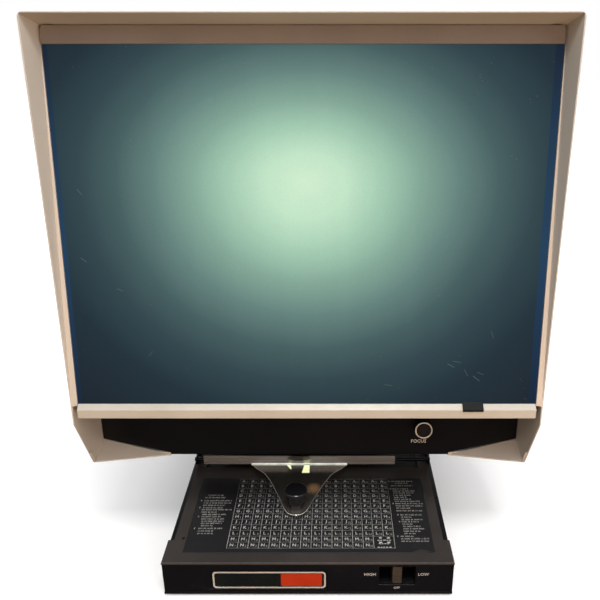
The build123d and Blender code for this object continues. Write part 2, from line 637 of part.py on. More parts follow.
# clips: each goes round the mirror's side edge, from the bracket to its face
clips = []
for s in (-1, 1):
    for k in (-50, 50):
        def mp(a, b):
            return (M2[0] + a * ty + b * M2[2], M2[1] + a * tz + b * M2[3])
        side = prism_yz([mp(k - 6, 1.2), mp(k + 6, 1.2), mp(k + 6, -4.0), mp(k - 6, -4.0)], s * 85.1, s * 86.4)
        face_ = prism_yz([mp(k - 6, 1.2), mp(k + 6, 1.2), mp(k + 6, 0.1), mp(k - 6, 0.1)], s * 80.0, s * 86.4)
        back = prism_yz([mp(k - 6, -4.05), mp(k + 6, -4.05), mp(k + 6, -5.2), mp(k - 6, -5.2)], s * 80.1, s * 86.4)
        side2 = prism_yz([mp(k - 6, 1.2), mp(k + 6, 1.2), mp(k + 6, -5.2), mp(k - 6, -5.2)], s * 85.1, s * 86.4)
        clips.append(side2 + face_ + back)
save("mirror_clips", group(clips))

# ---------------------------------------------------------------------------
# Lens mount, lens and focus drive
# ---------------------------------------------------------------------------
mount = cyl((0, AXIS_Y, 72), (0, AXIS_Y, 98), 15.0) + cyl((0, AXIS_Y, FLT), (0, AXIS_Y, 98), 18.5)
mount = mount - cyl((0, AXIS_Y, 70), (0, AXIS_Y, 100), 12.0 + RUN)
save("lens_mount", mount)

barrel = cyl((0, AXIS_Y, 62.5), (0, AXIS_Y, 104), 12.0)
barrel = barrel - cone((0, AXIS_Y, 62.4), (0, AXIS_Y, 66.0), 8.5, 6.5)
barrel = barrel - cyl((0, AXIS_Y, 60), (0, AXIS_Y, 110), 6.5)
barrel = barrel - cyl((0, AXIS_Y, 74), (0, AXIS_Y, 110), 9.0)
save("lens_barrel", barrel)


def lens_z(z0, thick, r, sag_lo, sag_hi):
    a = cyl((0, AXIS_Y, z0), (0, AXIS_Y, z0 + thick), r)
    for sag, top in ((sag_lo, False), (sag_hi, True)):
        if sag <= 0:
            continue
        R = (r * r + sag * sag) / (2 * sag)
        zc = z0 + thick + sag - R if top else z0 - sag + R
        s = Pos(0, AXIS_Y, zc) * Sphere(R)
        lo, hi = (z0 + thick, z0 + thick + sag + 1) if top else (z0 - sag - 1, z0)
        a = a + (s & box(-r - 1, r + 1, AXIS_Y - r - 1, AXIS_Y + r + 1, lo, hi))
    return a


save("lens_elements", group([lens_z(67.5, 2.0, 6.45, 1.2, 1.2), lens_z(76.0, 2.6, 8.95, 1.5, 2.0),
                             lens_z(86.0, 2.6, 8.95, 2.0, 1.4)]))

# focus arm: a clamp ring on the barrel and a slotted plate at the eccentric
ARM_Y0, ARM_Y1 = 196.0, 204.0
z_ax = FOC_Z - (199.5 - py(FOC_Z)) * math.tan(PANEL_LEAN)     # focus axis height there
arm = cyl((0, AXIS_Y, 99.5), (0, AXIS_Y, 103.5), 16.0) - cyl((0, AXIS_Y, 99), (0, AXIS_Y, 104), 12.0 + 0.02)
arm = arm + box(14.5, 103, ARM_Y0, ARM_Y1, 100.2, 103.2)
end = box(88.5, 103, 197.5, 201.5, z_ax - 4.4, z_ax + 4.8)
arm = arm - box(88.5, 103.5, ARM_Y0 - 1, 197.5, 95, 110) - box(88.5, 103.5, 201.5, ARM_Y1 + 1, 95, 110)
arm = arm + end
slot_c = V(FOC_X - ECC + 0.38, 199.5, z_ax)
slot_pl = Plane(origin=slot_c, x_dir=(1, 0, 0), z_dir=fa)
slot = slot_pl * Box(4.6, 3.34, 12)
arm = arm - slot
save("focus_arm", arm)

# focus shaft with its eccentric pin at the back, a bearing post on the floor
d_end = (199.5 - fo.Y) / math.cos(PANEL_LEAN)                 # distance down the axis
shaft = cyl(foc(14.0), foc(-(d_end - 4.0)), 3.0)
disc = cyl(foc(-(d_end - 7.0)), foc(-(d_end - 4.0)), 4.2)
pin = cyl(foc(-(d_end - 4.5), dx=-ECC), foc(-(d_end + 4.5), dx=-ECC), 1.5)
shaft = shaft + disc + pin
save("focus_shaft", shaft)

dp0, dp1 = d_end - 16.0, d_end - 8.5
post_c = foc(-(dp0 + dp1) / 2)
py0, py1 = foc(-dp0)[1], foc(-dp1)[1]
post = box(FOC_X - 8, FOC_X + 8, py0, py1, FLT, post_c[2] + 7.0)
post = post - cyl(foc(-(dp0 - 6)), foc(-(dp1 + 6)), 3.0 + RUN)
post = post + box(FOC_X - 8, FOC_X + 8, py0 - 8, py0, FLT, FLT + 2.0)
save("focus_bearing", post)

# focus knob: black cap with a bright ring let into its face
kn = cyl(foc(1.2), foc(16.0), 7.6)
kn = fillet(kn.edges().filter_by(GeomType.CIRCLE).sort_by_distance(Vertex(*foc(16.0)))[0], 0.5)
for i in range(24):
    a = 2 * math.pi * i / 24
    kn = kn - cyl(foc(3.0, 7.75 * math.cos(a), 7.75 * math.sin(a)), foc(13.5, 7.75 * math.cos(a), 7.75 * math.sin(a)), 0.45)
kn = kn - cyl(foc(0.5), foc(14.2), 3.02)
groove = cyl(foc(15.0), foc(17.0), 7.2) - cyl(foc(14.9), foc(17.1), 6.2)
kn = kn - groove
save("focus_knob", kn)
ring = cyl(foc(15.0), foc(16.3), 7.18) - cyl(foc(14.9), foc(16.4), 6.22)
save("focus_knob_ring", ring)

# ---------------------------------------------------------------------------
# Fiche carriage.  The frame slides front to back in the side ledges; the
# carrier slides left and right on its two rods.
# ---------------------------------------------------------------------------
fr = None
for s in (-1, 1):
    side = prism_yz([(130.8, 33.2), (143.0, 28.0), (252.0, 28.0), (252.0, 39.2), (130.8, 39.2)], s * 114.0, s * 115.6)
    fr = side if fr is None else fr + side
    for y0 in (150.0, 228.0):
        fr = fr + box(s * 112.5, s * 114.1, y0, y0 + 10, 28.95, 30.05)
fr = fr + box(-115.6, 115.6, 250.4, 252.0, 33.9, 39.2)
for y in (ROD_YF, ROD_YR):
    fr = fr - cyl((-120, y, ROD_Z), (120, y, ROD_Z), ROD_R + 0.03)
save("carriage_frame", fr)
rods = [cyl((-116.6, y, ROD_Z), (116.6, y, ROD_Z), ROD_R) for y in (ROD_YF, ROD_YR)]
save("cross_rods", group(rods))
shoes = []
for s in (-1, 1):
    for y0 in (147.0, 225.0):
        z0, z1 = LEDGE_Z + 0.12, 32.4
        b = prism_yz([(y0 + 1.5, z0), (y0 + 14.5, z0), (y0 + 16, z0 + 1.5), (y0 + 16, z1 - 1.5),
                      (y0 + 14.5, z1), (y0 + 1.5, z1), (y0, z1 - 1.5), (y0, z0 + 1.5)], s * 115.6, s * 118.3)
        shoes.append(b)
save("glide_shoes", group(shoes))

# carrier: a flat frame with a rebate for the lower glass and ears for the lid
cf = rbox_xy(CAR_X - 84, CAR_X + 84, 127.5, 249.4, 39.6, 43.6, 3.0)
cf = cf - box(CAR_X - 73.5, CAR_X + 73.5, 136.6, 239.4, 39, 44)
cf = cf - box(CAR_X - 77.6, CAR_X + 77.6, 132.4, 243.6, 41.0, 44)
for s in (-1, 1):
    ear = box(CAR_X + s * 79.0, CAR_X + s * 82.0, 243.8, 249.4, 43.6, LID_Z + 2.2)
    ear = fillet(ear.edges().filter_by(Axis.X).group_by(Axis.Z)[-1], 1.8)
    cf = cf + ear
cf = cf - cyl((CAR_X - 90, LID_Y, LID_Z), (CAR_X + 90, LID_Y, LID_Z), 1.0 + RUN)
save("carrier_frame", cf)
save("lower_glass", box(CAR_X - 77.2, CAR_X + 77.2, 132.8, 243.2, 41.0, 43.5))
blocks = []
for sx in (-1, 1):
    for y in (ROD_YF, ROD_YR):
        b = box(CAR_X + sx * 35 - 6, CAR_X + sx * 35 + 6, y - 3.7, y + 3.7, 33.7, 39.6)
        b = b - cyl((CAR_X + sx * 35 - 8, y, ROD_Z), (CAR_X + sx * 35 + 8, y, ROD_Z), ROD_R + RUN)
        blocks.append(b)
save("slide_bushings", group(blocks))

# front bar and pointer tongue, with the handle knob
bar = box(CAR_X - 93.5, CAR_X + 93.5, 125.0, 127.5, 37.4, 46.7)
bar = fillet(bar.edges().filter_by(Axis.X).group_by(Axis.Z)[-1], 0.8)
save("front_bar", bar)
half = [(46.7, 130.3), (46.7, 125.0), (41.5, 118.5), (36.5, 114.0), (32.6, 110.5), (28.5, 103.5), (25.0, 96.5),
        (22.2, 89.6), (19.0, 82.0), (16.4, 75.5), (14.4, 70.6), (12.6, 65.0), (10.8, 60.4), (9.4, 57.4), (7.0, 54.3),
        (4.0, 52.4), (0.0, 51.6)]
tpts = [(CAR_X + x, y) for x, y in half] + [(CAR_X - x, y) for x, y in reversed(half[:-1])]
tongue = prism_xy(tpts, 36.0, 37.4)
tongue = tongue - cyl((CAR_X, 63.5, 30), (CAR_X, 63.5, 40), 1.7)
save("pointer_tongue", tongue)

hk = cyl((CAR_X, 63.5, 37.4), (CAR_X, 63.5, 52.6), 6.5)
hk = hk + cyl((CAR_X, 63.5, 52.4), (CAR_X, 63.5, 56.2), 10.2)
hk = fillet(hk.edges().filter_by(GeomType.CIRCLE).group_by(Axis.Z)[-1], 1.7)
hk = hk - cyl((CAR_X, 63.5, 37.0), (CAR_X, 63.5, 46.0), 1.6)
save("handle_knob", hk)
hs = cyl((CAR_X, 63.5, 34.6), (CAR_X, 63.5, 36.0), 3.0) + cyl((CAR_X, 63.5, 35.5), (CAR_X, 63.5, 45.0), 1.5)
save("handle_screw", hs)

# upper glass on its hinge strip
save("upper_glass", box(CAR_X - 75, CAR_X + 75, 132.9, 240.9, 43.9, 46.4))
hstrip = box(CAR_X - 78.4, CAR_X + 78.4, 241.2, 249.0, 44.4, 47.5) + box(CAR_X - 75, CAR_X + 75, 234.5, 241.3, 46.4, 47.5)
hstrip = hstrip - cyl((CAR_X - 90, LID_Y, LID_Z), (CAR_X + 90, LID_Y, LID_Z), 1.0 + RUN)
rear_e = [e for e in hstrip.edges().filter_by(Axis.X) if e.center().Y > 248.5]
hstrip = fillet(rear_e, 1.0)
save("glass_hinge_strip", hstrip)
save("lid_hinge_pin", cyl((CAR_X - 82.6, LID_Y, LID_Z), (CAR_X + 82.6, LID_Y, LID_Z), 1.0))

# ---------------------------------------------------------------------------
lo = [1e9] * 3
hi = [-1e9] * 3
for n, s in NODES.items():
    bb = s.bounding_box()
    for i, (a, b) in enumerate(((bb.min.X, bb.max.X), (bb.min.Y, bb.max.Y), (bb.min.Z, bb.max.Z))):
        lo[i] = min(lo[i], a)
        hi[i] = max(hi[i], b)
print("nodes", len(NODES), "box", [round(v, 2) for v in lo], [round(v, 2) for v in hi])
print("focus point on panel", tuple(round(v, 3) for v in foc(0)), "axis", (0, round(-math.cos(PANEL_LEAN), 5), round(math.sin(PANEL_LEAN), 5)))
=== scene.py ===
import json
import math
import random

import bmesh
import bpy
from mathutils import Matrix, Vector

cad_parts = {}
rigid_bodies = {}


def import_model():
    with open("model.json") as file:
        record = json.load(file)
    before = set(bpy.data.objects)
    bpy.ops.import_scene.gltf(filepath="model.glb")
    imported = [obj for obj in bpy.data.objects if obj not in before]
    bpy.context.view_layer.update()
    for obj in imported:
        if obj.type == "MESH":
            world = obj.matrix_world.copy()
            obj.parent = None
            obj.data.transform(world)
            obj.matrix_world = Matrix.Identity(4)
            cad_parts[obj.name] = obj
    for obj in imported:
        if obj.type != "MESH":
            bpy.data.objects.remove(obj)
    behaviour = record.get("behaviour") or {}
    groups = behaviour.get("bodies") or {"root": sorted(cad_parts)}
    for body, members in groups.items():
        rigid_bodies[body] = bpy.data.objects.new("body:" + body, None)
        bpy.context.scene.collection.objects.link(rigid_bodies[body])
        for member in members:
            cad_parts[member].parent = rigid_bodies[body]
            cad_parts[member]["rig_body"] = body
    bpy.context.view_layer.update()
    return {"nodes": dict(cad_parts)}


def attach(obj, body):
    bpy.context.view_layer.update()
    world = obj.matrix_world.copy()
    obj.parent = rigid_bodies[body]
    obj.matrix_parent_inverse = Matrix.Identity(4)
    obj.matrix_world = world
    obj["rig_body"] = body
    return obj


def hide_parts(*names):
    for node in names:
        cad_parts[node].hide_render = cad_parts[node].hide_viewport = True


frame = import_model()
NODES = frame["nodes"]
BODY_OF = {n: o["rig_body"] for n, o in NODES.items()}
random.seed(7)


def P(x, y, z):
    """A point given in millimetres from the front of the base, in the row frame."""
    return Vector((x / 1000.0, (y - 196.0) / 1000.0, (z + 2.0) / 1000.0))


# ---------------------------------------------------------------------------
# Camera
# ---------------------------------------------------------------------------
cam_data = bpy.data.cameras.new("camera")
cam = bpy.data.objects.new("camera", cam_data)
bpy.context.scene.collection.objects.link(cam)
cam.location = P(19.95, -410.09, 428.19)
cam.rotation_euler = (math.radians(90 - 22.068), 0.0, 0.0)
cam_data.sensor_width = 36.0
cam_data.lens = 655.3 / 600 * 36.0
cam_data.shift_x = -32.5 / 600
cam_data.clip_start = 0.02
cam_data.clip_end = 50
bpy.context.scene.camera = cam
bpy.context.scene.view_settings.view_transform = "Standard"
bpy.context.scene.view_settings.look = "None"


# ---------------------------------------------------------------------------
# Material helpers
# ---------------------------------------------------------------------------
class Mat:
    """A node material with object coordinates, in metres."""

    def __init__(self, name):
        self.m = bpy.data.materials.new(name)
        self.m.use_nodes = True
        self.nt = self.m.node_tree
        self.nt.nodes.clear()
        self.out = self.node("ShaderNodeOutputMaterial")
        self.b = self.node("ShaderNodeBsdfPrincipled")
        self.link(self.b.outputs[0], self.out.inputs[0])
        self.co = self.node("ShaderNodeTexCoord").outputs["Object"]

    def node(self, kind):
        return self.nt.nodes.new(kind)

    def link(self, a, b):
        self.nt.links.new(a, b)

    def put(self, socket, value):
        if isinstance(value, bpy.types.NodeSocket):
            self.link(value, socket)
        elif isinstance(value, (tuple, list)) and len(value) == 3 and len(socket.default_value) == 4:
            socket.default_value = (*value, 1.0)
        else:
            socket.default_value = value

    def set(self, **kw):
        names = {"base": "Base Color", "rough": "Roughness", "metal": "Metallic", "ior": "IOR", "spec": "Specular IOR Level",
                 "coat": "Coat Weight", "coat_rough": "Coat Roughness", "trans": "Transmission Weight",
                 "emit": "Emission Color", "power": "Emission Strength", "aniso": "Anisotropic", "alpha": "Alpha",
                 "normal": "Normal", "sheen": "Sheen Weight", "sheen_rough": "Sheen Roughness"}
        for k, v in kw.items():
            self.put(self.b.inputs[names[k]], v)
        return self

    def stretch(self, sx, sy, sz, co=None):
        n = self.node("ShaderNodeMapping")
        n.vector_type = "POINT"
        n.inputs["Scale"].default_value = (sx, sy, sz)
        self.link(co or self.co, n.inputs[0])
        return n.outputs[0]

    def noise(self, scale, detail=4.0, rough=0.5, co=None, distortion=0.0):
        n = self.node("ShaderNodeTexNoise")
        n.inputs["Scale"].default_value = scale
        n.inputs["Detail"].default_value = detail
        n.inputs["Roughness"].default_value = rough
        n.inputs["Distortion"].default_value = distortion
        self.link(co or self.co, n.inputs["Vector"])
        return n.outputs["Fac"]

    def cells(self, scale, co=None, feature="F1"):
        n = self.node("ShaderNodeTexVoronoi")
        n.feature = feature
        n.inputs["Scale"].default_value = scale
        self.link(co or self.co, n.inputs["Vector"])
        return n.outputs["Distance"]

    def math(self, op, a, b=0.0, c=None, clamp=False):
        n = self.node("ShaderNodeMath")
        n.operation = op
        n.use_clamp = clamp
        self.put(n.inputs[0], a)
        self.put(n.inputs[1], b)
        if c is not None:
            self.put(n.inputs[2], c)
        return n.outputs[0]

    def vmath(self, op, a, b=None, scale=None):
        n = self.node("ShaderNodeVectorMath")
        n.operation = op
        self.put(n.inputs[0], a)
        if b is not None:
            self.put(n.inputs[1], b)
        if scale is not None:
            self.put(n.inputs["Scale"], scale)
        return n.outputs["Value"] if op in ("DOT_PRODUCT", "LENGTH", "DISTANCE") else n.outputs["Vector"]

    def range(self, v, a0, a1, b0=0.0, b1=1.0, smooth=False):
        n = self.node("ShaderNodeMapRange")
        n.clamp = True
        n.interpolation_type = "SMOOTHSTEP" if smooth else "LINEAR"
        self.put(n.inputs["Value"], v)
        for k, x in (("From Min", a0), ("From Max", a1), ("To Min", b0), ("To Max", b1)):
            n.inputs[k].default_value = x
        return n.outputs["Result"]

    def xyz(self, co=None):
        n = self.node("ShaderNodeSeparateXYZ")
        self.link(co or self.co, n.inputs[0])
        return n.outputs[0], n.outputs[1], n.outputs[2]

    def ramp(self, fac, stops, kind="LINEAR"):
        n = self.node("ShaderNodeValToRGB")
        n.color_ramp.interpolation = kind
        el = n.color_ramp.elements
        while len(el) < len(stops):
            el.new(0.5)
        for e, (pos, col) in zip(el, stops):
            e.position = pos
            e.color = (*col, 1.0) if len(col) == 3 else col
        self.link(fac, n.inputs[0])
        return n.outputs[0]

    def mix(self, fac, a, b, blend="MIX"):
        n = self.node("ShaderNodeMix")
        n.data_type = "RGBA"
        n.blend_type = blend
        n.clamp_factor = True
        self.put(n.inputs["Factor"], fac)
        self.put([s for s in n.inputs if s.identifier == "A_Color"][0], a)
        self.put([s for s in n.inputs if s.identifier == "B_Color"][0], b)
        return [s for s in n.outputs if s.identifier == "Result_Color"][0]

    def bump(self, height, strength, distance, normal=None):
        n = self.node("ShaderNodeBump")
        n.inputs["Strength"].default_value = strength
        n.inputs["Distance"].default_value = distance
        self.link(height, n.inputs["Height"])
        if normal is not None:
            self.link(normal, n.inputs["Normal"])
        self.link(n.outputs[0], self.b.inputs["Normal"])
        return n.outputs[0]


def textured(name, light, dark, rough, grain=1400.0, grain_h=0.00012, strength=0.35, blotch=9.0, rough_var=0.08,
             speck=None, metal=0.0, spec=0.5, coat=0.0, scuff=0.0, scuff_col=(0.5, 0.48, 0.45), soft=0.0):
    """Painted or moulded surface: two tones in slow patches, a fine grain in the bump, some dust or scuffing."""
    m = Mat(name)
    slow = m.noise(blotch, 3.0, 0.55)
    fine = m.noise(grain, 2.0, 0.6)
    mid = m.noise(grain * 0.16, 4.0, 0.6)
    col = m.mix(m.range(slow, 0.3, 0.7), dark, light)
    shade = m.range(fine, 0.3, 0.7, 0.94, 1.05)
    col = m.mix(0.6, col, m.vmath("SCALE", col, scale=shade))
    if speck:
        dots = m.range(m.cells(speck[0]), 0.0, speck[1], 1.0, 0.0)
        gate = m.range(m.noise(speck[0] * 0.35, 1.0), 0.52, 0.6)
        col = m.mix(m.math("MULTIPLY", m.math("MULTIPLY", dots, gate), speck[3]), col, speck[2])
    if scuff:
        sc = m.range(m.noise(60.0, 6.0, 0.7, co=m.stretch(1.0, 3.2, 1.6), distortion=1.5), 0.60, 0.72)
        col = m.mix(m.math("MULTIPLY", sc, scuff), col, scuff_col)
    r = m.math("ADD", m.range(mid, 0.25, 0.75, rough - rough_var, rough + rough_var), 0.0)
    m.set(base=col, rough=r, metal=metal, spec=spec, coat=coat)
    h = m.math("ADD", fine, m.math("MULTIPLY", mid, 0.35))
    edge = None
    if soft:
        bev = m.node("ShaderNodeBevel")
        bev.samples = 4
        bev.inputs["Radius"].default_value = soft
        edge = bev.outputs[0]
    m.bump(h, strength, grain_h, edge)
    return m


def metal_mat(name, col, rough, brush=None, rough_var=0.05, wave=0.0, tint=None, scratch=0.0, metal=1.0,
              streak=0.25):
    """Bare or plated metal: brushed along one axis or polished, with slow waviness and a few fine scratches."""
    m = Mat(name)
    slow = m.noise(25.0, 3.0)
    c = m.mix(m.range(slow, 0.3, 0.7), tuple(x * 0.86 for x in col), tint or col)
    if brush:
        line = m.noise(1.0, 5.0, 0.65, co=m.stretch(*brush))
        r = m.range(line, 0.25, 0.75, rough - rough_var, rough + rough_var)
        m.set(base=m.mix(m.range(line, 0.3, 0.7, 0.0, streak), c, tuple(x * 0.55 for x in col)), rough=r, metal=metal)
        m.bump(line, 0.25, 0.00006)
    else:
        spots = m.noise(140.0, 3.0, 0.5)
        r = m.range(spots, 0.35, 0.8, rough, rough + rough_var)
        m.set(base=c, rough=r, metal=metal)
        h = m.noise(45.0, 2.0)
        if scratch:
            s = m.noise(1.0, 2.0, 0.5, co=m.stretch(700.0, 60.0, 300.0))
            h = m.math("ADD", h, m.math("MULTIPLY", m.range(s, 0.66, 0.7), scratch))
        m.bump(h, 0.2 if wave == 0 else wave, 0.0004)
    return m


# ---------------------------------------------------------------------------
# Materials
# ---------------------------------------------------------------------------
M = {}
M["putty"] = textured("putty", (0.560, 0.520, 0.468), (0.515, 0.475, 0.425), 0.55, grain=1500, grain_h=0.00015,
                      strength=0.30, blotch=7, speck=(700.0, 0.16, (0.25, 0.21, 0.17), 0.35), scuff=0.10,
                      scuff_col=(0.42, 0.36, 0.30), soft=0.0006)
M["panel"] = textured("panel_black", (0.0028, 0.0030, 0.0046), (0.0018, 0.0020, 0.0034), 0.42, grain=1100,
                      grain_h=0.0001, strength=0.25, blotch=12, spec=0.28, speck=(420.0, 0.1, (0.05, 0.045, 0.04), 0.25))
M["column"] = textured("column_black", (0.012, 0.011, 0.011), (0.008, 0.0075, 0.0078), 0.5, grain=1000,
                       grain_h=0.00016, strength=0.4, blotch=12, spec=0.4)
M["base"] = textured("base_black", (0.0042, 0.0042, 0.0066), (0.0028, 0.0028, 0.0046), 0.40, grain=1300, grain_h=0.00012,
                     strength=0.30, blotch=14, spec=0.36, scuff=0.03, speck=(500.0, 0.12, (0.10, 0.09, 0.085), 0.25))
M["deck"] = textured("deck_brown", (0.046, 0.039, 0.035), (0.032, 0.0275, 0.0250), 0.46, grain=1000, grain_h=0.00018,
                     strength=0.45, blotch=18, spec=0.42, scuff=0.08, scuff_col=(0.10, 0.09, 0.08),
                     speck=(520.0, 0.12, (0.13, 0.12, 0.11), 0.35))
M["index"] = textured("index_black", (0.0200, 0.0200, 0.0215), (0.0145, 0.0145, 0.0160), 0.36, grain=1500,
                      grain_h=0.00006, strength=0.18, blotch=22, spec=0.45,
                      speck=(460.0, 0.10, (0.10, 0.10, 0.10), 0.35))
M["stage"] = textured("stage_black", (0.0075, 0.0070, 0.0070), (0.0050, 0.0048, 0.0050), 0.6, grain=900, blotch=12)
M["switch"] = textured("switch_black", (0.0060, 0.0058, 0.0060), (0.0040, 0.0040, 0.0042), 0.38, grain=1600,
                       grain_h=0.00006, strength=0.2)
M["lever"] = textured("lever_brown", (0.060, 0.046, 0.035), (0.040, 0.030, 0.023), 0.42, grain=1500, grain_h=0.00006,
                      strength=0.2, spec=0.5)
M["knob"] = textured("knob_black", (0.0100, 0.0090, 0.0105), (0.0070, 0.0064, 0.0076), 0.16, grain=900, grain_h=0.00003,
                     strength=0.12, rough_var=0.05, spec=0.6, coat=0.3)
M["rubber"] = textured("foot_rubber", (0.018, 0.018, 0.018), (0.012, 0.012, 0.012), 0.78, grain=800, grain_h=0.0002)
M["nylon"] = textured("nylon", (0.060, 0.058, 0.054), (0.045, 0.043, 0.040), 0.45, grain=900)
M["steel"] = metal_mat("steel", (0.42, 0.41, 0.40), 0.30, brush=(30.0, 900.0, 900.0))
M["blued"] = metal_mat("blackened_steel", (0.045, 0.043, 0.042), 0.34, rough_var=0.08)
M["plated"] = metal_mat("plated_steel", (0.50, 0.50, 0.48), 0.32, brush=(700.0, 40.0, 700.0))
M["bar"] = metal_mat("bar_metal", (0.36, 0.365, 0.365), 0.27, brush=(5.0, 900.0, 900.0), rough_var=0.03, metal=0.55, streak=0.08)
M["chrome"] = metal_mat("tongue_chrome", (0.46, 0.42, 0.375), 0.19, rough_var=0.05, wave=0.05, scratch=0.05, metal=0.90)
# the fold is the tongue's chrome made paler and given a pale glow: a painted highlight of the stage lamp's light caught
# on it
M["fold"] = metal_mat("fold_chrome_painted_highlight", (0.80, 0.79, 0.74), 0.12, rough_var=0.05, wave=0.05)
M["fold"].set(emit=(0.86, 0.88, 0.74), power=M["fold"].range(M["fold"].noise(160.0, 3.0), 0.3, 0.7, 0.42, 0.72))


def tongue_light(m):
    """Light of the stage caught on the tongue: two sharp yellow-green patches at its root and a warm sheen."""
    x, y, z = m.xyz()
    px = m.math("MULTIPLY", x, 1000.0)
    py = m.math("ADD", m.math("MULTIPLY", y, 1000.0), 196.0)
    pz = m.math("ADD", m.math("MULTIPLY", z, 1000.0), -2.0)
    top = m.range(pz, 37.25, 37.35)

    def lobe(y0, c0, h0, c1, h1):
        t = m.range(py, y0, 125.0)
        c = m.math("ADD", m.math("MULTIPLY", t, c1 - c0), c0)
        h = m.math("ADD", m.math("MULTIPLY", t, h1 - h0), h0)
        d = m.math("SUBTRACT", m.math("ABSOLUTE", m.math("SUBTRACT", px, c)), h)
        return m.math("MULTIPLY", m.range(d, -0.35, 0.35, 1.0, 0.0), m.range(py, y0 - 0.4, y0 + 0.4))

    lobes = m.math("MAXIMUM", lobe(111.5, -5.9, 3.6, -4.9, 2.5), lobe(117.3, -20.3, 0.5, -23.3, 2.1))
    dx = m.math("MULTIPLY", m.math("SUBTRACT", px, 2.6), 1 / 7.0)
    dy = m.math("MULTIPLY", m.math("SUBTRACT", py, 88.0), 1 / 8.0)
    r = m.math("SQRT", m.math("ADD", m.math("MULTIPLY", dx, dx), m.math("MULTIPLY", dy, dy)))
    warm = m.range(r, 0.2, 1.3, 1.0, 0.0, smooth=True)
    col = m.mix(lobes, m.mix(warm, (0.0, 0.0, 0.0), (0.115, 0.062, 0.028)), (0.93, 0.97, 0.52))
    # the rounded edge catches the light from above, most of all at the tip
    geo = m.node("ShaderNodeNewGeometry")
    nz = m.xyz(geo.outputs["Normal"])[2]
    edge = m.math("MULTIPLY", m.range(nz, 0.97, 0.80, 0.0, 1.0), m.range(nz, 0.1, 0.35))
    edge = m.math("MULTIPLY", edge, m.range(py, 54.0, 66.0, 0.85, 0.22))
    col = m.mix(edge, m.vmath("SCALE", col, scale=top), (0.90, 0.88, 0.84))
    m.set(emit=col, power=1.0)


tongue_light(M["chrome"])


def bar_painted_knob_reflection(m):
    """Painted reflection of the knob's head: a dark patch in the middle of the bar's face."""
    x, y, z = m.xyz()
    dx = m.math("MULTIPLY", m.math("SUBTRACT", x, -0.0125), 1 / 0.0125)
    dz = m.math("MULTIPLY", m.math("SUBTRACT", z, 0.0468), 1 / 0.0036)
    r = m.math("SQRT", m.math("ADD", m.math("MULTIPLY", dx, dx), m.math("MULTIPLY", dz, dz)))
    r = m.math("ADD", r, m.range(m.noise(300.0, 2.0), 0.0, 1.0, -0.15, 0.15))
    old = m.b.inputs["Base Color"].links[0].from_socket
    # darken the bar's colour in an ellipse: the painted reflection of the knob's head
    dark = m.range(r, 0.75, 1.1, 0.88, 0.0, smooth=True)
    m.set(base=m.mix(dark, old, (0.030, 0.026, 0.020)))


# painted reflection of the knob's head on the bar
bar_painted_knob_reflection(M["bar"])
M["ring"] = metal_mat("ring_metal", (0.72, 0.71, 0.68), 0.25, rough_var=0.10, metal=0.45)
M["anodised"] = metal_mat("black_anodised", (0.05, 0.05, 0.052), 0.38, rough_var=0.08)
M["reflector"] = metal_mat("reflector", (0.85, 0.84, 0.80), 0.08, rough_var=0.04)
M["mirror"] = metal_mat("mirror", (0.90, 0.91, 0.92), 0.015, rough_var=0.02, wave=0.02)
M["brass"] = metal_mat("brass", (0.62, 0.44, 0.20), 0.25, rough_var=0.08)
M["trim"] = textured("trim_cream", (0.455, 0.445, 0.400), (0.405, 0.390, 0.340), 0.36, grain=1400, grain_h=0.00005,
                     strength=0.15, blotch=28, speck=(380.0, 0.10, (0.30, 0.26, 0.20), 0.45), spec=0.5, scuff=0.06,
                     scuff_col=(0.50, 0.44, 0.36))
M["strip"] = textured("strip_brown", (0.208, 0.174, 0.148), (0.175, 0.145, 0.122), 0.48, grain=1400, grain_h=0.00008,
                      strength=0.2, blotch=14)
M["clip"] = textured("clip_grey", (0.010, 0.012, 0.013), (0.007, 0.008, 0.009), 0.60, spec=0.16, grain=1500, grain_h=0.00005,
                     strength=0.2)
M["ceramic"] = textured("ceramic", (0.70, 0.66, 0.58), (0.62, 0.58, 0.50), 0.30, grain=900, grain_h=0.00006)
M["winding"] = textured("winding_tape", (0.55, 0.42, 0.10), (0.42, 0.30, 0.06), 0.45, grain=500)
M["iron"] = textured("core_iron", (0.10, 0.10, 0.11), (0.05, 0.05, 0.055), 0.45, grain=900, metal=0.8)
M["print_white"] = textured("print_white", (0.50, 0.50, 0.485), (0.40, 0.40, 0.39), 0.5, grain=2200, grain_h=0.00002,
                            strength=0.1, blotch=60)
M["print_grey"] = textured("print_grey", (0.30, 0.30, 0.285), (0.22, 0.22, 0.21), 0.5, grain=2200, grain_h=0.00002,
                           strength=0.1, blotch=60)
M["print_dim"] = textured("print_dim", (0.28, 0.275, 0.26), (0.17, 0.17, 0.16), 0.5, grain=2200, grain_h=0.00002,
                          strength=0.1, blotch=90)
M["border"] = textured("border_silver", (0.44, 0.44, 0.43), (0.34, 0.34, 0.335), 0.30, grain=1500, grain_h=0.00004,
                       strength=0.12, blotch=40)
M["red"] = textured("red_orange", (0.400, 0.029, 0.006), (0.330, 0.023, 0.004), 0.34, grain=1500, grain_h=0.00004,
                    strength=0.12, blotch=50, spec=0.5)
M["recess"] = textured("plate_black", (0.0060, 0.0085, 0.0085), (0.0040, 0.0060, 0.0062), 0.30, grain=1500,
                       grain_h=0.00004, strength=0.15, blotch=40)


def glass(name, tint, rough, emit=None, power=0.0):
    m = Mat(name)
    smear = m.noise(34.0, 5.0, 0.6, distortion=1.0)
    m.set(base=tint, rough=m.range(smear, 0.45, 0.75, rough, rough + 0.10), trans=1.0, ior=1.5)
    if emit:
        m.set(emit=emit, power=m.range(m.noise(300.0, 2.0), 0.0, 1.0, power * 0.9, power * 1.1))
    return m


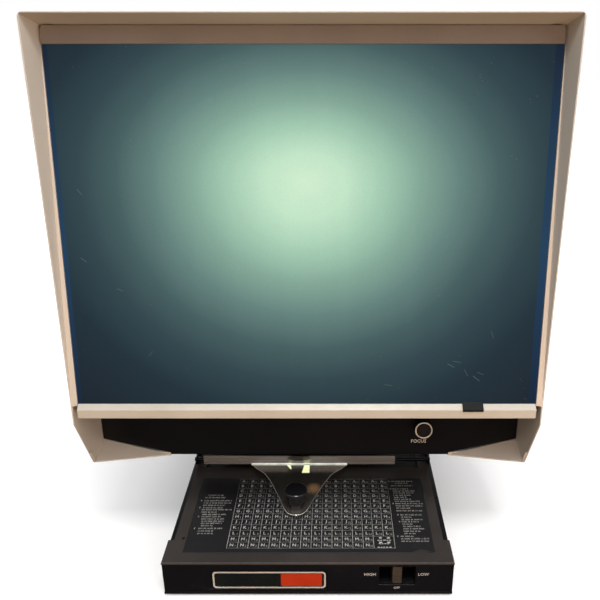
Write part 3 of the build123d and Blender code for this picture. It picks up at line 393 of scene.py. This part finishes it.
M["glass"] = glass("clear_glass", (0.93, 0.97, 0.94), 0.015)
M["lamp_glass"] = glass("lamp_glass", (1.0, 0.98, 0.94), 0.01, emit=(1.0, 0.86, 0.62), power=12.0)
M["lit_lens"] = glass("lit_lens", (0.95, 1.0, 0.88), 0.02, emit=(0.84, 1.0, 0.42), power=7.0)

# The projection screen: matt green-blue acrylic lit from behind by the lamp, its light painted as emission, brightest a
# little above its middle, with a fine grain, the painted glow falling off to darker edges, and a few fine scratches and
# specks of dust.
SCR_LO = (31.5, 161.0)
SCR_DIR = (0.13865, 0.99034)


def scr(x, v, w=0.0):
    """Point on the screen's front: x across, v up along it from its lower edge, w in front of it (mm)."""
    return P(x, SCR_LO[0] + v * SCR_DIR[0] - w * SCR_DIR[1], SCR_LO[1] + v * SCR_DIR[1] + w * SCR_DIR[0])


def screen_material():
    m = Mat("screen_lit")
    origin = scr(0, 0)
    rel = m.vmath("SUBTRACT", m.co, tuple(origin))
    u = m.vmath("DOT_PRODUCT", rel, (1.0, 0.0, 0.0))
    v = m.vmath("DOT_PRODUCT", rel, (0.0, SCR_DIR[0], SCR_DIR[1]))
    du = m.math("DIVIDE", m.math("SUBTRACT", u, 0.0017), 0.182)
    dv = m.math("SUBTRACT", v, 0.1715)
    up = m.math("MULTIPLY", m.math("MAXIMUM", dv, 0.0), 1 / 0.127)
    dn = m.math("MULTIPLY", m.math("MINIMUM", dv, 0.0), 1 / 0.168)
    dv2 = m.math("ADD", up, dn)
    r = m.math("SQRT", m.math("ADD", m.math("MULTIPLY", du, du), m.math("MULTIPLY", dv2, dv2)))
    r = m.math("ADD", r, m.range(m.noise(9.0, 2.0), 0.0, 1.0, -0.022, 0.022))
    k = 1.5
    glow = m.ramp(m.math("DIVIDE", r, k), [
        (0.00 / k, (0.640, 0.850, 0.625)), (0.16 / k, (0.535, 0.775, 0.570)), (0.30 / k, (0.370, 0.598, 0.445)),
        (0.45 / k, (0.224, 0.380, 0.306)), (0.60 / k, (0.128, 0.223, 0.205)), (0.75 / k, (0.063, 0.116, 0.120)),
        (0.90 / k, (0.033, 0.063, 0.075)), (1.10 / k, (0.0160, 0.0310, 0.0430)), (1.40 / k, (0.0115, 0.0180, 0.0285))])
    # grain of the diffusing surface, and faint vertical streaks of wiping
    grain = m.math("ADD", m.math("MULTIPLY", m.noise(2600.0, 2.0, 0.6), 0.5), m.math("MULTIPLY", m.noise(900.0, 2.0), 0.5))
    streak = m.noise(1.0, 3.0, 0.5, co=m.stretch(60.0, 6.0, 6.0))
    shade = m.math("MULTIPLY", m.range(grain, 0.3, 0.7, 0.955, 1.045), m.range(streak, 0.3, 0.7, 0.985, 1.015))
    glow = m.vmath("SCALE", glow, scale=shade)
    # blue bands along both side edges, where light leaks round inside the sheet
    side = m.math("MAXIMUM", m.range(u, 0.1716, 0.1728, smooth=True), m.range(u, -0.1750, -0.1738, 1.0, 0.0, smooth=True))
    blue = m.ramp(m.range(v, 0.0, 0.27), [(0.0, (0.0070, 0.0200, 0.0480)), (0.45, (0.0160, 0.0520, 0.1150)),
                                          (0.75, (0.0130, 0.0400, 0.0850)), (1.0, (0.0090, 0.0140, 0.0300))])
    glow = m.mix(m.math("MULTIPLY", side, 0.85), glow, blue)
    # fine scratches: short straight segments, given by their two ends on the screen (mm)
    lines = [((108, 34), (113, 31), 0.30), ((112, 36), (118, 35), 0.25), ((128, 24), (133, 20), 0.32), ((131, 27), (136, 25), 0.22),
             ((121, 29), (124, 24), 0.20), ((-163, 166), (-160, 162), 0.25), ((-165, 116), (-161, 113), 0.25),
             ((-140, 93), (-136, 91), 0.24), ((60, 17), (66, 16), 0.20), ((-28, 130), (-24, 128), 0.14),
             ((140, 60), (142, 54), 0.18), ((34, 98), (37, 96), 0.15), ((-120, 40), (-117, 44), 0.16)]
    total = None
    for (x0, v0), (x1, v1), w in lines:
        a, b = scr(x0, v0), scr(x1, v1)
        ba = b - a
        pa = m.vmath("SUBTRACT", m.co, tuple(a))
        h = m.math("MULTIPLY", m.vmath("DOT_PRODUCT", pa, tuple(ba)), 1.0 / ba.length_squared, clamp=True)
        off = m.vmath("SUBTRACT", pa, m.vmath("SCALE", tuple(ba), scale=h))
        d = m.vmath("LENGTH", off)
        s = m.range(d, 0.00006, 0.00026, w * 0.55, 0.0)
        total = s if total is None else m.math("MAXIMUM", total, s)
    specks = m.math("MULTIPLY", m.range(m.cells(260.0), 0.0, 0.11, 1.0, 0.0), m.range(m.noise(45.0, 1.0), 0.60, 0.64))
    mark = m.math("MAXIMUM", total, m.math("MULTIPLY", specks, 0.20))
    glow = m.mix(mark, glow, (0.34, 0.44, 0.42))
    m.set(base=m.mix(mark, (0.0020, 0.0030, 0.0036), (0.20, 0.23, 0.23)),
          rough=m.range(m.noise(40.0, 4.0), 0.3, 0.7, 0.34, 0.46), spec=0.03, emit=glow, power=1.0)
    m.bump(grain, 0.12, 0.00005)
    return m


M["screen"] = screen_material()

# ---------------------------------------------------------------------------
# Finish of every CAD node
# ---------------------------------------------------------------------------
finish_of = {
    "putty": "hood_shell rear_cover",
    "panel": "lower_front_panel focus_bush",
    "column": "rear_column",
    "base": "base_pan front_fascia",
    "deck": "deck_cover",
    "stage": "stage_plate hood_floor first_mirror_bracket rear_mirror_bracket carrier_frame stage_mirror_block",
    "index": "index_plate",
    "recess": "nameplate",
    "switch": "switch_housing power_inlet",
    "lever": "switch_lever",
    "knob": "handle_knob focus_knob",
    "rubber": "rubber_feet",
    "nylon": "glide_shoes slide_bushings",
    "steel": "focus_shaft lid_hinge_pin handle_screw mirror_clips lamp_house glass_hinge_strip",
    "blued": "cross_rods carriage_frame",
    "plated": "cover_screws",
    "bar": "front_bar",
    "chrome": "pointer_tongue",
    "ring": "focus_knob_ring",
    "anodised": "lens_mount lens_barrel focus_arm focus_bearing",
    "reflector": "lamp_reflector",
    "trim": "bottom_trim",
    "strip": "top_strip",
    "clip": "screen_clip",
    "screen": "screen",
    "glass": "lower_glass upper_glass condenser_lens heat_glass lens_elements",
    "lit_lens": "field_lens",
    "lamp_glass": "lamp",
    "mirror": "first_mirror rear_mirror stage_mirror",
    "ceramic": "lamp_socket",
    "brass": "inlet_pins",
    "winding": "transformer_coil",
    "iron": "transformer_core",
}
MAT_OF = {n: key for key, names in finish_of.items() for n in names.split()}
for n, o in NODES.items():
    mat = M[MAT_OF[n]].m
    for s in o.material_slots:
        s.link = "OBJECT"
        s.material = mat


# ---------------------------------------------------------------------------
# Mesh helpers
# ---------------------------------------------------------------------------
def new_object(name, bm, mat, body, sharp=35.0, weighted=True):
    mesh = bpy.data.meshes.new(name)
    limit = math.radians(sharp)
    for f in bm.faces:
        f.smooth = True
    for e in bm.edges:
        e.smooth = not (len(e.link_faces) != 2 or e.calc_face_angle(0.0) > limit)
    bm.to_mesh(mesh)
    bm.free()
    o = bpy.data.objects.new(name, mesh)
    bpy.context.scene.collection.objects.link(o)
    if weighted:
        w = o.modifiers.new("normals", "WEIGHTED_NORMAL")
        w.keep_sharp = True
        w.weight = 80
    o.data.materials.append(M[mat].m)
    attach(o, body)
    return o


def refine(node, width, seg=2, angle=28.0, sharp=35.0, flat=0.6, mat=None):
    """The node's shape with its sharp edges rounded over, as its own piece in place of the plain one."""
    src = NODES[node]
    bm = bmesh.new()
    bm.from_mesh(src.data)
    bmesh.ops.remove_doubles(bm, verts=bm.verts, dist=2e-6)
    if flat:
        bmesh.ops.dissolve_limit(bm, angle_limit=math.radians(flat), use_dissolve_boundaries=False, verts=bm.verts,
                                 edges=bm.edges, delimit={"NORMAL"})
    bm.normal_update()
    lim = math.radians(angle)
    edges = [e for e in bm.edges if len(e.link_faces) == 2 and e.calc_face_angle(0.0) > lim]
    if width:
        bmesh.ops.bevel(bm, geom=edges, offset=width / 1000.0, offset_type="OFFSET", segments=seg, profile=0.5,
                        affect="EDGES", clamp_overlap=True, material=-1, loop_slide=True)
    bmesh.ops.recalc_face_normals(bm, faces=bm.faces)
    o = new_object(node + "_finished", bm, mat or MAT_OF[node], BODY_OF[node], sharp)
    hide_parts(node)
    return o


def prism(points, extrude):
    """Closed prism from a planar outline (Vectors) and an extrusion vector."""
    bm = bmesh.new()
    add_prism(bm, points, extrude)
    return bm


def add_prism(bm, points, extrude):
    a = [bm.verts.new(p) for p in points]
    b = [bm.verts.new(p + extrude) for p in points]
    n = len(points)
    bm.faces.new(a)
    bm.faces.new(list(reversed(b)))
    for i in range(n):
        bm.faces.new((a[(i + 1) % n], a[i], b[i], b[(i + 1) % n]))


def rounded(x0, x1, z0, z1, r, n=8):
    pts = []
    for cx, cz, a0 in ((x1 - r, z1 - r, 0), (x0 + r, z1 - r, 90), (x0 + r, z0 + r, 180), (x1 - r, z0 + r, 270)):
        for i in range(n + 1):
            a = math.radians(a0 + 90.0 * i / n)
            pts.append((cx + r * math.cos(a), cz + r * math.sin(a)))
    return pts


TEXT = {}


def glyphs(text, size, bold, thick):
    """Vertices and faces of a line of text, centred, as closed thin solids."""
    key = (text, size, bold, thick)
    if key not in TEXT:
        cu = bpy.data.curves.new("t", "FONT")
        cu.body = text
        cu.size = size
        cu.offset = bold
        cu.extrude = thick / 2
        cu.resolution_u = 2
        cu.align_x = "CENTER"
        cu.align_y = "CENTER"
        o = bpy.data.objects.new("t", cu)
        bpy.context.scene.collection.objects.link(o)
        dg = bpy.context.evaluated_depsgraph_get()
        me = bpy.data.meshes.new_from_object(o.evaluated_get(dg))
        xs = [v.co.x for v in me.vertices]
        ys = [v.co.y for v in me.vertices]
        cx, cy = (min(xs) + max(xs)) / 2, (min(ys) + max(ys)) / 2
        TEXT[key] = ([(v.co.x - cx, v.co.y - cy, v.co.z) for v in me.vertices], [tuple(p.vertices) for p in me.polygons])
        bpy.data.objects.remove(o)
        bpy.data.curves.remove(cu)
        bpy.data.meshes.remove(me)
    return TEXT[key]


def add_text(bm, text, at, right, up, size, bold=0.0, thick=0.00006, squeeze=1.0):
    verts, faces = glyphs(text, size, bold, thick)
    right, up = Vector(right).normalized(), Vector(up).normalized()
    out = right.cross(up)
    vs = [bm.verts.new(at + right * (x * squeeze) + up * y + out * (z + thick / 2)) for x, y, z in verts]
    for f in faces:
        try:
            bm.faces.new([vs[i] for i in f])
        except ValueError:
            pass


# ---------------------------------------------------------------------------
# Casework with rounded edges
# ---------------------------------------------------------------------------
refine("hood_shell", 0.0, flat=0.0, sharp=24.0)
refine("rear_cover", 0.5)
refine("lower_front_panel", 0.45)
refine("rear_column", 0.5)
refine("base_pan", 0.35)
refine("deck_cover", 0.45, seg=3)
refine("front_fascia", 0.3)
refine("nameplate", 0.2)
refine("index_plate", 0.12, seg=1)
refine("stage_plate", 0.2)
refine("bottom_trim", 0.45, seg=3)
refine("top_strip", 0.3)
refine("screen_clip", 0.12)
refine("screen", 0.25)
refine("front_bar", 0.35, seg=3)
refine("pointer_tongue", 0.62, seg=3, angle=40)
refine("handle_knob", 0.25)
refine("handle_screw", 0.15)
refine("focus_bush", 0.15)
refine("focus_knob", 0.15)
refine("focus_knob_ring", 0.12)
refine("switch_housing", 0.2)
refine("switch_lever", 0.2)
refine("carriage_frame", 0.2)
refine("cross_rods", 0.25)
refine("glide_shoes", 0.2)
refine("carrier_frame", 0.3)
refine("lower_glass", 0.25)
refine("upper_glass", 0.25)
refine("glass_hinge_strip", 0.15)
refine("rubber_feet", 0.2)
refine("power_inlet", 0.4)
refine("inlet_pins", 0.25)
refine("cover_screws", 0.12)
refine("hood_floor", 0.2)

# ---------------------------------------------------------------------------
# Index plate: life-size grid of 16 columns and 13 rows, a letter and a number in each cell
# ---------------------------------------------------------------------------
GX0, GX1, GY0, GY1 = -68.0, 72.0, 16.5, 107.5
CW, RH = (GX1 - GX0) / 16, (GY1 - GY0) / 13
TOPZ = 33.12
up_y, right_x = (0, 1, 0), (1, 0, 0)


def flat_bar(bm, x0, x1, y0, y1, z=TOPZ, t=0.05):
    add_prism(bm, [P(x0, y0, z), P(x1, y0, z), P(x1, y1, z), P(x0, y1, z)], Vector((0, 0, t / 1000)))


bm = bmesh.new()
lw = 0.24
for c in range(17):
    x = GX0 + c * CW
    y0 = GY0 if c != 15 else GY0 + 2 * RH
    flat_bar(bm, x - lw, x + lw, y0 - lw, GY1 + lw)
new_object("index_grid_columns", bm, "print_grey", "base", weighted=False)
bm = bmesh.new()
for r in range(14):
    y = GY0 + r * RH
    x1 = GX1 if r != 1 else GX1 - 2 * CW
    flat_bar(bm, GX0 - lw, x1 + lw, y - lw * 0.8, y + lw * 0.8, t=0.04)
new_object("index_grid_rows", bm, "print_dim", "base", weighted=False)

rows = "ABCDEFGHJKLMN"
bm = bmesh.new()
bn = bmesh.new()
for r, letter in enumerate(rows):
    y = GY1 - (r + 0.5) * RH
    for c in range(16):
        x = GX0 + (c + 0.5) * CW
        if r >= 11 and c >= 14:
            continue
        add_text(bm, letter, P(x - 0.8, y + 0.1, TOPZ), right_x, up_y, 0.0044, 0.00010)
        add_text(bn, str(c + 1), P(x + 2.3, y - 1.0, TOPZ), right_x, up_y, 0.0034, 0.00006, squeeze=0.8)
new_object("index_letters", bm, "print_white", "base", weighted=False)
new_object("index_numbers", bn, "print_grey", "base", weighted=False)

# the merged corner cell: plain dots and bars
bm = bmesh.new()
cx, cy = GX1 - CW, GY0 + RH
for dx in (-4.2, 2.6):
    for dy in (4.2, -1.2):
        flat_bar(bm, cx + dx, cx + dx + 2.6, cy + dy, cy + dy + 1.9)
for k, (a, b) in enumerate(((-5.5, 6.0), (-4.6, 4.9), (-5.9, 6.4))):
    yy = cy + 2.2 - k * 4.1
    x = a
    while x < b - 0.8:
        w = min(random.uniform(1.4, 2.8), b - x)
        flat_bar(bm, cx + x, cx + x + w, yy - 0.5, yy + 0.5)
        x += w + 0.6
new_object("index_corner_marks", bm, "print_white", "base", weighted=False)

# two blocks of lines beside the grid, as plain word-length bars
left = [(-94.6, -80.3, 84.0), (-97.2, -77.0, 80.7), (-97.0, -71.7, 76.4), (-97.2, -72.1, 73.2), (-97.1, -77.7, 70.1),
        (-96.4, -78.1, 66.8), (-97.4, -70.2, 64.1), (-96.8, -83.1, 61.0), (-95.8, -74.5, 57.9), (-95.6, -77.6, 55.0),
        (-95.6, -74.5, 52.1), (-94.8, -74.9, 49.1), (-94.8, -76.3, 46.5), (-94.2, -82.9, 43.5), (-95.8, -74.0, 40.1),
        (-95.6, -82.3, 37.0), (-95.6, -81.8, 33.9)]
left_marks = [(-100.2, 76.4), (-100.0, 66.8), (-99.0, 55.0), (-99.6, 40.1)]
right_lines = [(72.9, 97.5, 104.2), (79.2, 91.3, 101.4), (75.3, 95.8, 97.8), (75.6, 90.9, 93.1), (76.3, 96.8, 90.1),
               (76.5, 95.5, 87.2), (76.2, 92.3, 84.0), (76.5, 88.2, 81.1), (76.2, 92.1, 78.3), (76.9, 99.7, 75.4),
               (77.0, 102.1, 72.3), (77.3, 101.3, 69.3), (77.5, 91.3, 66.2), (77.2, 100.5, 62.7), (80.0, 99.3, 57.3),
               (80.5, 89.9, 54.3), (80.6, 99.9, 51.2), (80.4, 96.4, 48.4), (80.9, 89.8, 45.5), (81.1, 96.6, 42.6),
               (81.2, 99.3, 39.7), (80.9, 96.7, 36.7), (81.1, 91.1, 33.8), (77.9, 89.0, 30.5), (77.9, 101.8, 27.6),
               (78.0, 101.4, 24.7)]
right_marks = [(73.6, 93.1), (74.6, 72.3), (77.5, 57.3), (78.0, 48.4), (74.9, 30.5)]


def greeked(name, lines, marks, height):
    bm = bmesh.new()
    for x0, x1, y in lines:
        x = x0
        while x < x1 - 0.7:
            w = min(random.uniform(1.3, 5.2), x1 - x)
            n = max(1, int(round(w / 0.95)))
            # each word is a row of small upright strokes over a thin base line
            for i in range(n):
                a = x + i * w / n
                h = height * random.uniform(0.78, 1.0)
                flat_bar(bm, a, a + w / n * 0.62, y - height / 2, y - height / 2 + h)
            x += w + 0.75
    for x, y in marks:
        flat_bar(bm, x, x + 1.0, y - height / 2, y + height / 2)
    new_object(name, bm, "print_grey", "base", weighted=False)


greeked("index_lines_left", left, left_marks, 1.9)
greeked("index_lines_right", right_lines, right_marks, 1.8)

# ---------------------------------------------------------------------------
# Nameplate: pale border, red block, otherwise bare
# ---------------------------------------------------------------------------
FY = 0.46


def xz(pts, y):
    return [P(x, y, z) for x, z in pts]


bm = bmesh.new()
outer = rounded(-77.9, 14.5, 6.1, 23.4, 3.0, 10)
inner = rounded(-76.5, 13.1, 7.5, 22.0, 2.1, 10)
n = len(outer)
ring = []
for y in (FY, FY - 0.22):
    ring.append([bm.verts.new(P(x, y, z)) for x, z in outer])
    ring.append([bm.verts.new(P(x, y, z)) for x, z in inner])
ob, ib, of_, if_ = ring
for i in range(n):
    j = (i + 1) % n
    bm.faces.new((of_[i], of_[j], if_[j], if_[i]))
    bm.faces.new((ob[j], ob[i], ib[i], ib[j]))
    bm.faces.new((ob[i], ob[j], of_[j], of_[i]))
    bm.faces.new((if_[i], if_[j], ib[j], ib[i]))
bmesh.ops.recalc_face_normals(bm, faces=bm.faces)
bmesh.ops.bevel(bm, geom=[e for e in bm.edges if e.calc_face_angle(0) > 1.0], offset=0.00007, segments=2,
                affect="EDGES", profile=0.5)
new_object("nameplate_border", bm, "border", "base")
bm = prism(xz(rounded(-22.2, 11.3, 8.3, 21.2, 1.3, 6), FY), Vector((0, -0.00014, 0)))
bmesh.ops.recalc_face_normals(bm, faces=bm.faces)
bmesh.ops.bevel(bm, geom=[e for e in bm.edges if e.calc_face_angle(0) > 1.0], offset=0.00005, segments=2,
                affect="EDGES", profile=0.5)
new_object("nameplate_block", bm, "red", "base")

# ---------------------------------------------------------------------------
# Lettering at the switch and at the focus knob
# ---------------------------------------------------------------------------
bm = bmesh.new()
for word, x, z, size in (("HIGH", 50.6, 20.6, 0.0040), ("LOW", 94.2, 20.6, 0.0039), ("OFF", 72.8, 6.4, 0.0030)):
    add_text(bm, word, P(x, 0.56, z), (1, 0, 0), (0, 0, 1), size, 0.00001)
new_object("switch_lettering", bm, "print_white", "base", weighted=False)
LEAN = math.radians(8.5)
bm = bmesh.new()
zf = 103.4
yf = 66.0 + (zf - 91.0) * math.tan(LEAN)
add_text(bm, "FOCUS", P(94.2, yf - 0.06, zf - 0.1), (1, 0, 0), (0, math.sin(LEAN), math.cos(LEAN)), 0.0042, 0.00003)
new_object("focus_lettering", bm, "print_white", "base", weighted=False)

# ---------------------------------------------------------------------------
# Carriage front: fold between tongue and bar
# ---------------------------------------------------------------------------
bm = bmesh.new()
arc = [P(0, 125.0, 37.36), P(0, 125.0, 38.9)]
for i in range(1, 9):
    a = math.radians(90.0 * i / 8)
    arc.append(P(0, 123.5 + 1.5 * math.cos(a), 38.9 - 1.5 * math.sin(a)))
for x0, x1 in ((-59.2, 34.2),):
    add_prism(bm, [Vector((x0 / 1000, p.y, p.z)) for p in arc], Vector(((x1 - x0) / 1000, 0, 0)))
bmesh.ops.recalc_face_normals(bm, faces=bm.faces)
new_object("tongue_fold", bm, "fold", "carrier", weighted=False)

# ---------------------------------------------------------------------------
# Cross slots of the rear cover screws
# ---------------------------------------------------------------------------
src = NODES["cover_screws"].data
bm = bmesh.new()
bm.from_mesh(src)
bmesh.ops.remove_doubles(bm, verts=bm.verts, dist=2e-6)
islands, seen = [], set()
for v in bm.verts:
    if v in seen:
        continue
    stack, isl = [v], []
    seen.add(v)
    while stack:
        a = stack.pop()
        isl.append(a.co.copy())
        for e in a.link_edges:
            b = e.other_vert(a)
            if b not in seen:
                seen.add(b)
                stack.append(b)
    islands.append(isl)
bm.free()
ry, rz = 345.0 - 392.0, 398.0 - 190.0
rl = math.hypot(ry, rz)
slanted = Vector((0, rz / rl, -ry / rl))
bm = bmesh.new()
for isl in islands:
    mid = sum(isl, Vector()) / len(isl)
    axis = Vector((0, 1, 0)) if mid.z < 0.19 else slanted
    far = max(p.dot(axis) for p in isl)
    top = [p for p in isl if p.dot(axis) > far - 2e-5]
    c = sum(top, Vector()) / len(top)
    side = Vector((1, 0, 0))
    other = axis.cross(side)
    for a, b in ((side, other), (other, side)):
        pts = [c + a * (s1 * 0.0017) + b * (s2 * 0.00032) - axis * 0.00005 for s1, s2 in ((-1, -1), (1, -1), (1, 1), (-1, 1))]
        add_prism(bm, pts, axis * 0.00007)
bmesh.ops.recalc_face_normals(bm, faces=bm.faces)
new_object("cover_screw_crosses", bm, "switch", "base", weighted=False)

# ---------------------------------------------------------------------------
# Stage: floor, light
# ---------------------------------------------------------------------------
bm = bmesh.new()
bmesh.ops.create_grid(bm, x_segments=2, y_segments=2, size=6.0)
me = bpy.data.meshes.new("floor")
bm.to_mesh(me)
bm.free()
floor = bpy.data.objects.new("floor", me)
bpy.context.scene.collection.objects.link(floor)
fm = Mat("floor_pale")
# the floor glows faintly, less near the object: a painted shade that deepens the shadows round its foot, while the far
# floor comes out white
fm.set(base=fm.mix(fm.range(fm.noise(2.0, 2.0), 0.3, 0.7), (0.80, 0.80, 0.80), (0.84, 0.84, 0.84)), rough=0.9, spec=0.1,
       emit=(1.0, 1.0, 1.0), power=fm.range(fm.vmath("LENGTH", fm.co), 0.30, 0.95, 0.20, 0.46, smooth=True))
floor.data.materials.append(fm.m)
floor.visible_diffuse = False
floor.visible_glossy = False
floor.visible_transmission = False

world = bpy.data.worlds.new("studio")
bpy.context.scene.world = world
world.use_nodes = True
wn = world.node_tree
wn.nodes.clear()
bg = wn.nodes.new("ShaderNodeBackground")
wo = wn.nodes.new("ShaderNodeOutputWorld")
lp = wn.nodes.new("ShaderNodeLightPath")
bg2 = wn.nodes.new("ShaderNodeBackground")
mixw = wn.nodes.new("ShaderNodeMixShader")
tc = wn.nodes.new("ShaderNodeTexCoord")
sep = wn.nodes.new("ShaderNodeSeparateXYZ")
wn.links.new(tc.outputs["Generated"], sep.inputs[0])
mr = wn.nodes.new("ShaderNodeMapRange")
mr.inputs["From Min"].default_value = -0.25
mr.inputs["From Max"].default_value = 0.75
wn.links.new(sep.outputs[2], mr.inputs["Value"])
rampw = wn.nodes.new("ShaderNodeValToRGB")
el = rampw.color_ramp.elements
el[0].position, el[0].color = 0.0, (0.075, 0.062, 0.052, 1)
el[1].position, el[1].color = 1.0, (0.90, 0.92, 0.95, 1)
for pos, col in ((0.22, (0.10, 0.085, 0.072, 1)), (0.45, (0.36, 0.355, 0.35, 1)), (0.70, (0.74, 0.75, 0.76, 1))):
    e = el.new(pos)
    e.color = col
wn.links.new(mr.outputs[0], rampw.inputs[0])
wn.links.new(rampw.outputs[0], bg.inputs["Color"])
bg.inputs["Strength"].default_value = 1.0
bg2.inputs["Color"].default_value = (1.0, 1.0, 1.0, 1.0)
bg2.inputs["Strength"].default_value = 1.0
wn.links.new(lp.outputs["Is Camera Ray"], mixw.inputs[0])
wn.links.new(bg.outputs[0], mixw.inputs[1])
wn.links.new(bg2.outputs[0], mixw.inputs[2])
wn.links.new(mixw.outputs[0], wo.inputs[0])


def area(name, at, target, size, power, colour=(1, 1, 1), size_y=None):
    d = bpy.data.lights.new(name, "AREA")
    d.shape = "RECTANGLE"
    d.size = size
    d.size_y = size_y or size
    d.energy = power
    d.color = colour
    o = bpy.data.objects.new(name, d)
    bpy.context.scene.collection.objects.link(o)
    o.location = at
    o.rotation_euler = (Vector(target) - Vector(at)).to_track_quat("-Z", "Y").to_euler()
    return o


area("key_overhead", (0.10, -0.80, 1.65), (0, 0.0, 0.25), 0.5, 16.0, (1.0, 0.99, 0.97), 0.3)
back = area("fill_back", (0.0, 1.8, 1.0), (0, 0.1, 0.2), 1.6, 18.0, (1.0, 1.0, 1.0))
back.visible_glossy = True
side = area("fill_right", (1.5, -0.9, 0.75), (-0.1, -0.1, 0.28), 0.9, 5.8, (1.0, 0.97, 0.93))
side.visible_glossy = False
warm = area("warm_bounce", (0.12, -0.95, 0.02), (0.0, -0.10, 0.34), 0.9, 7.4, (1.0, 0.63, 0.37), 0.5)
warm.visible_glossy = False
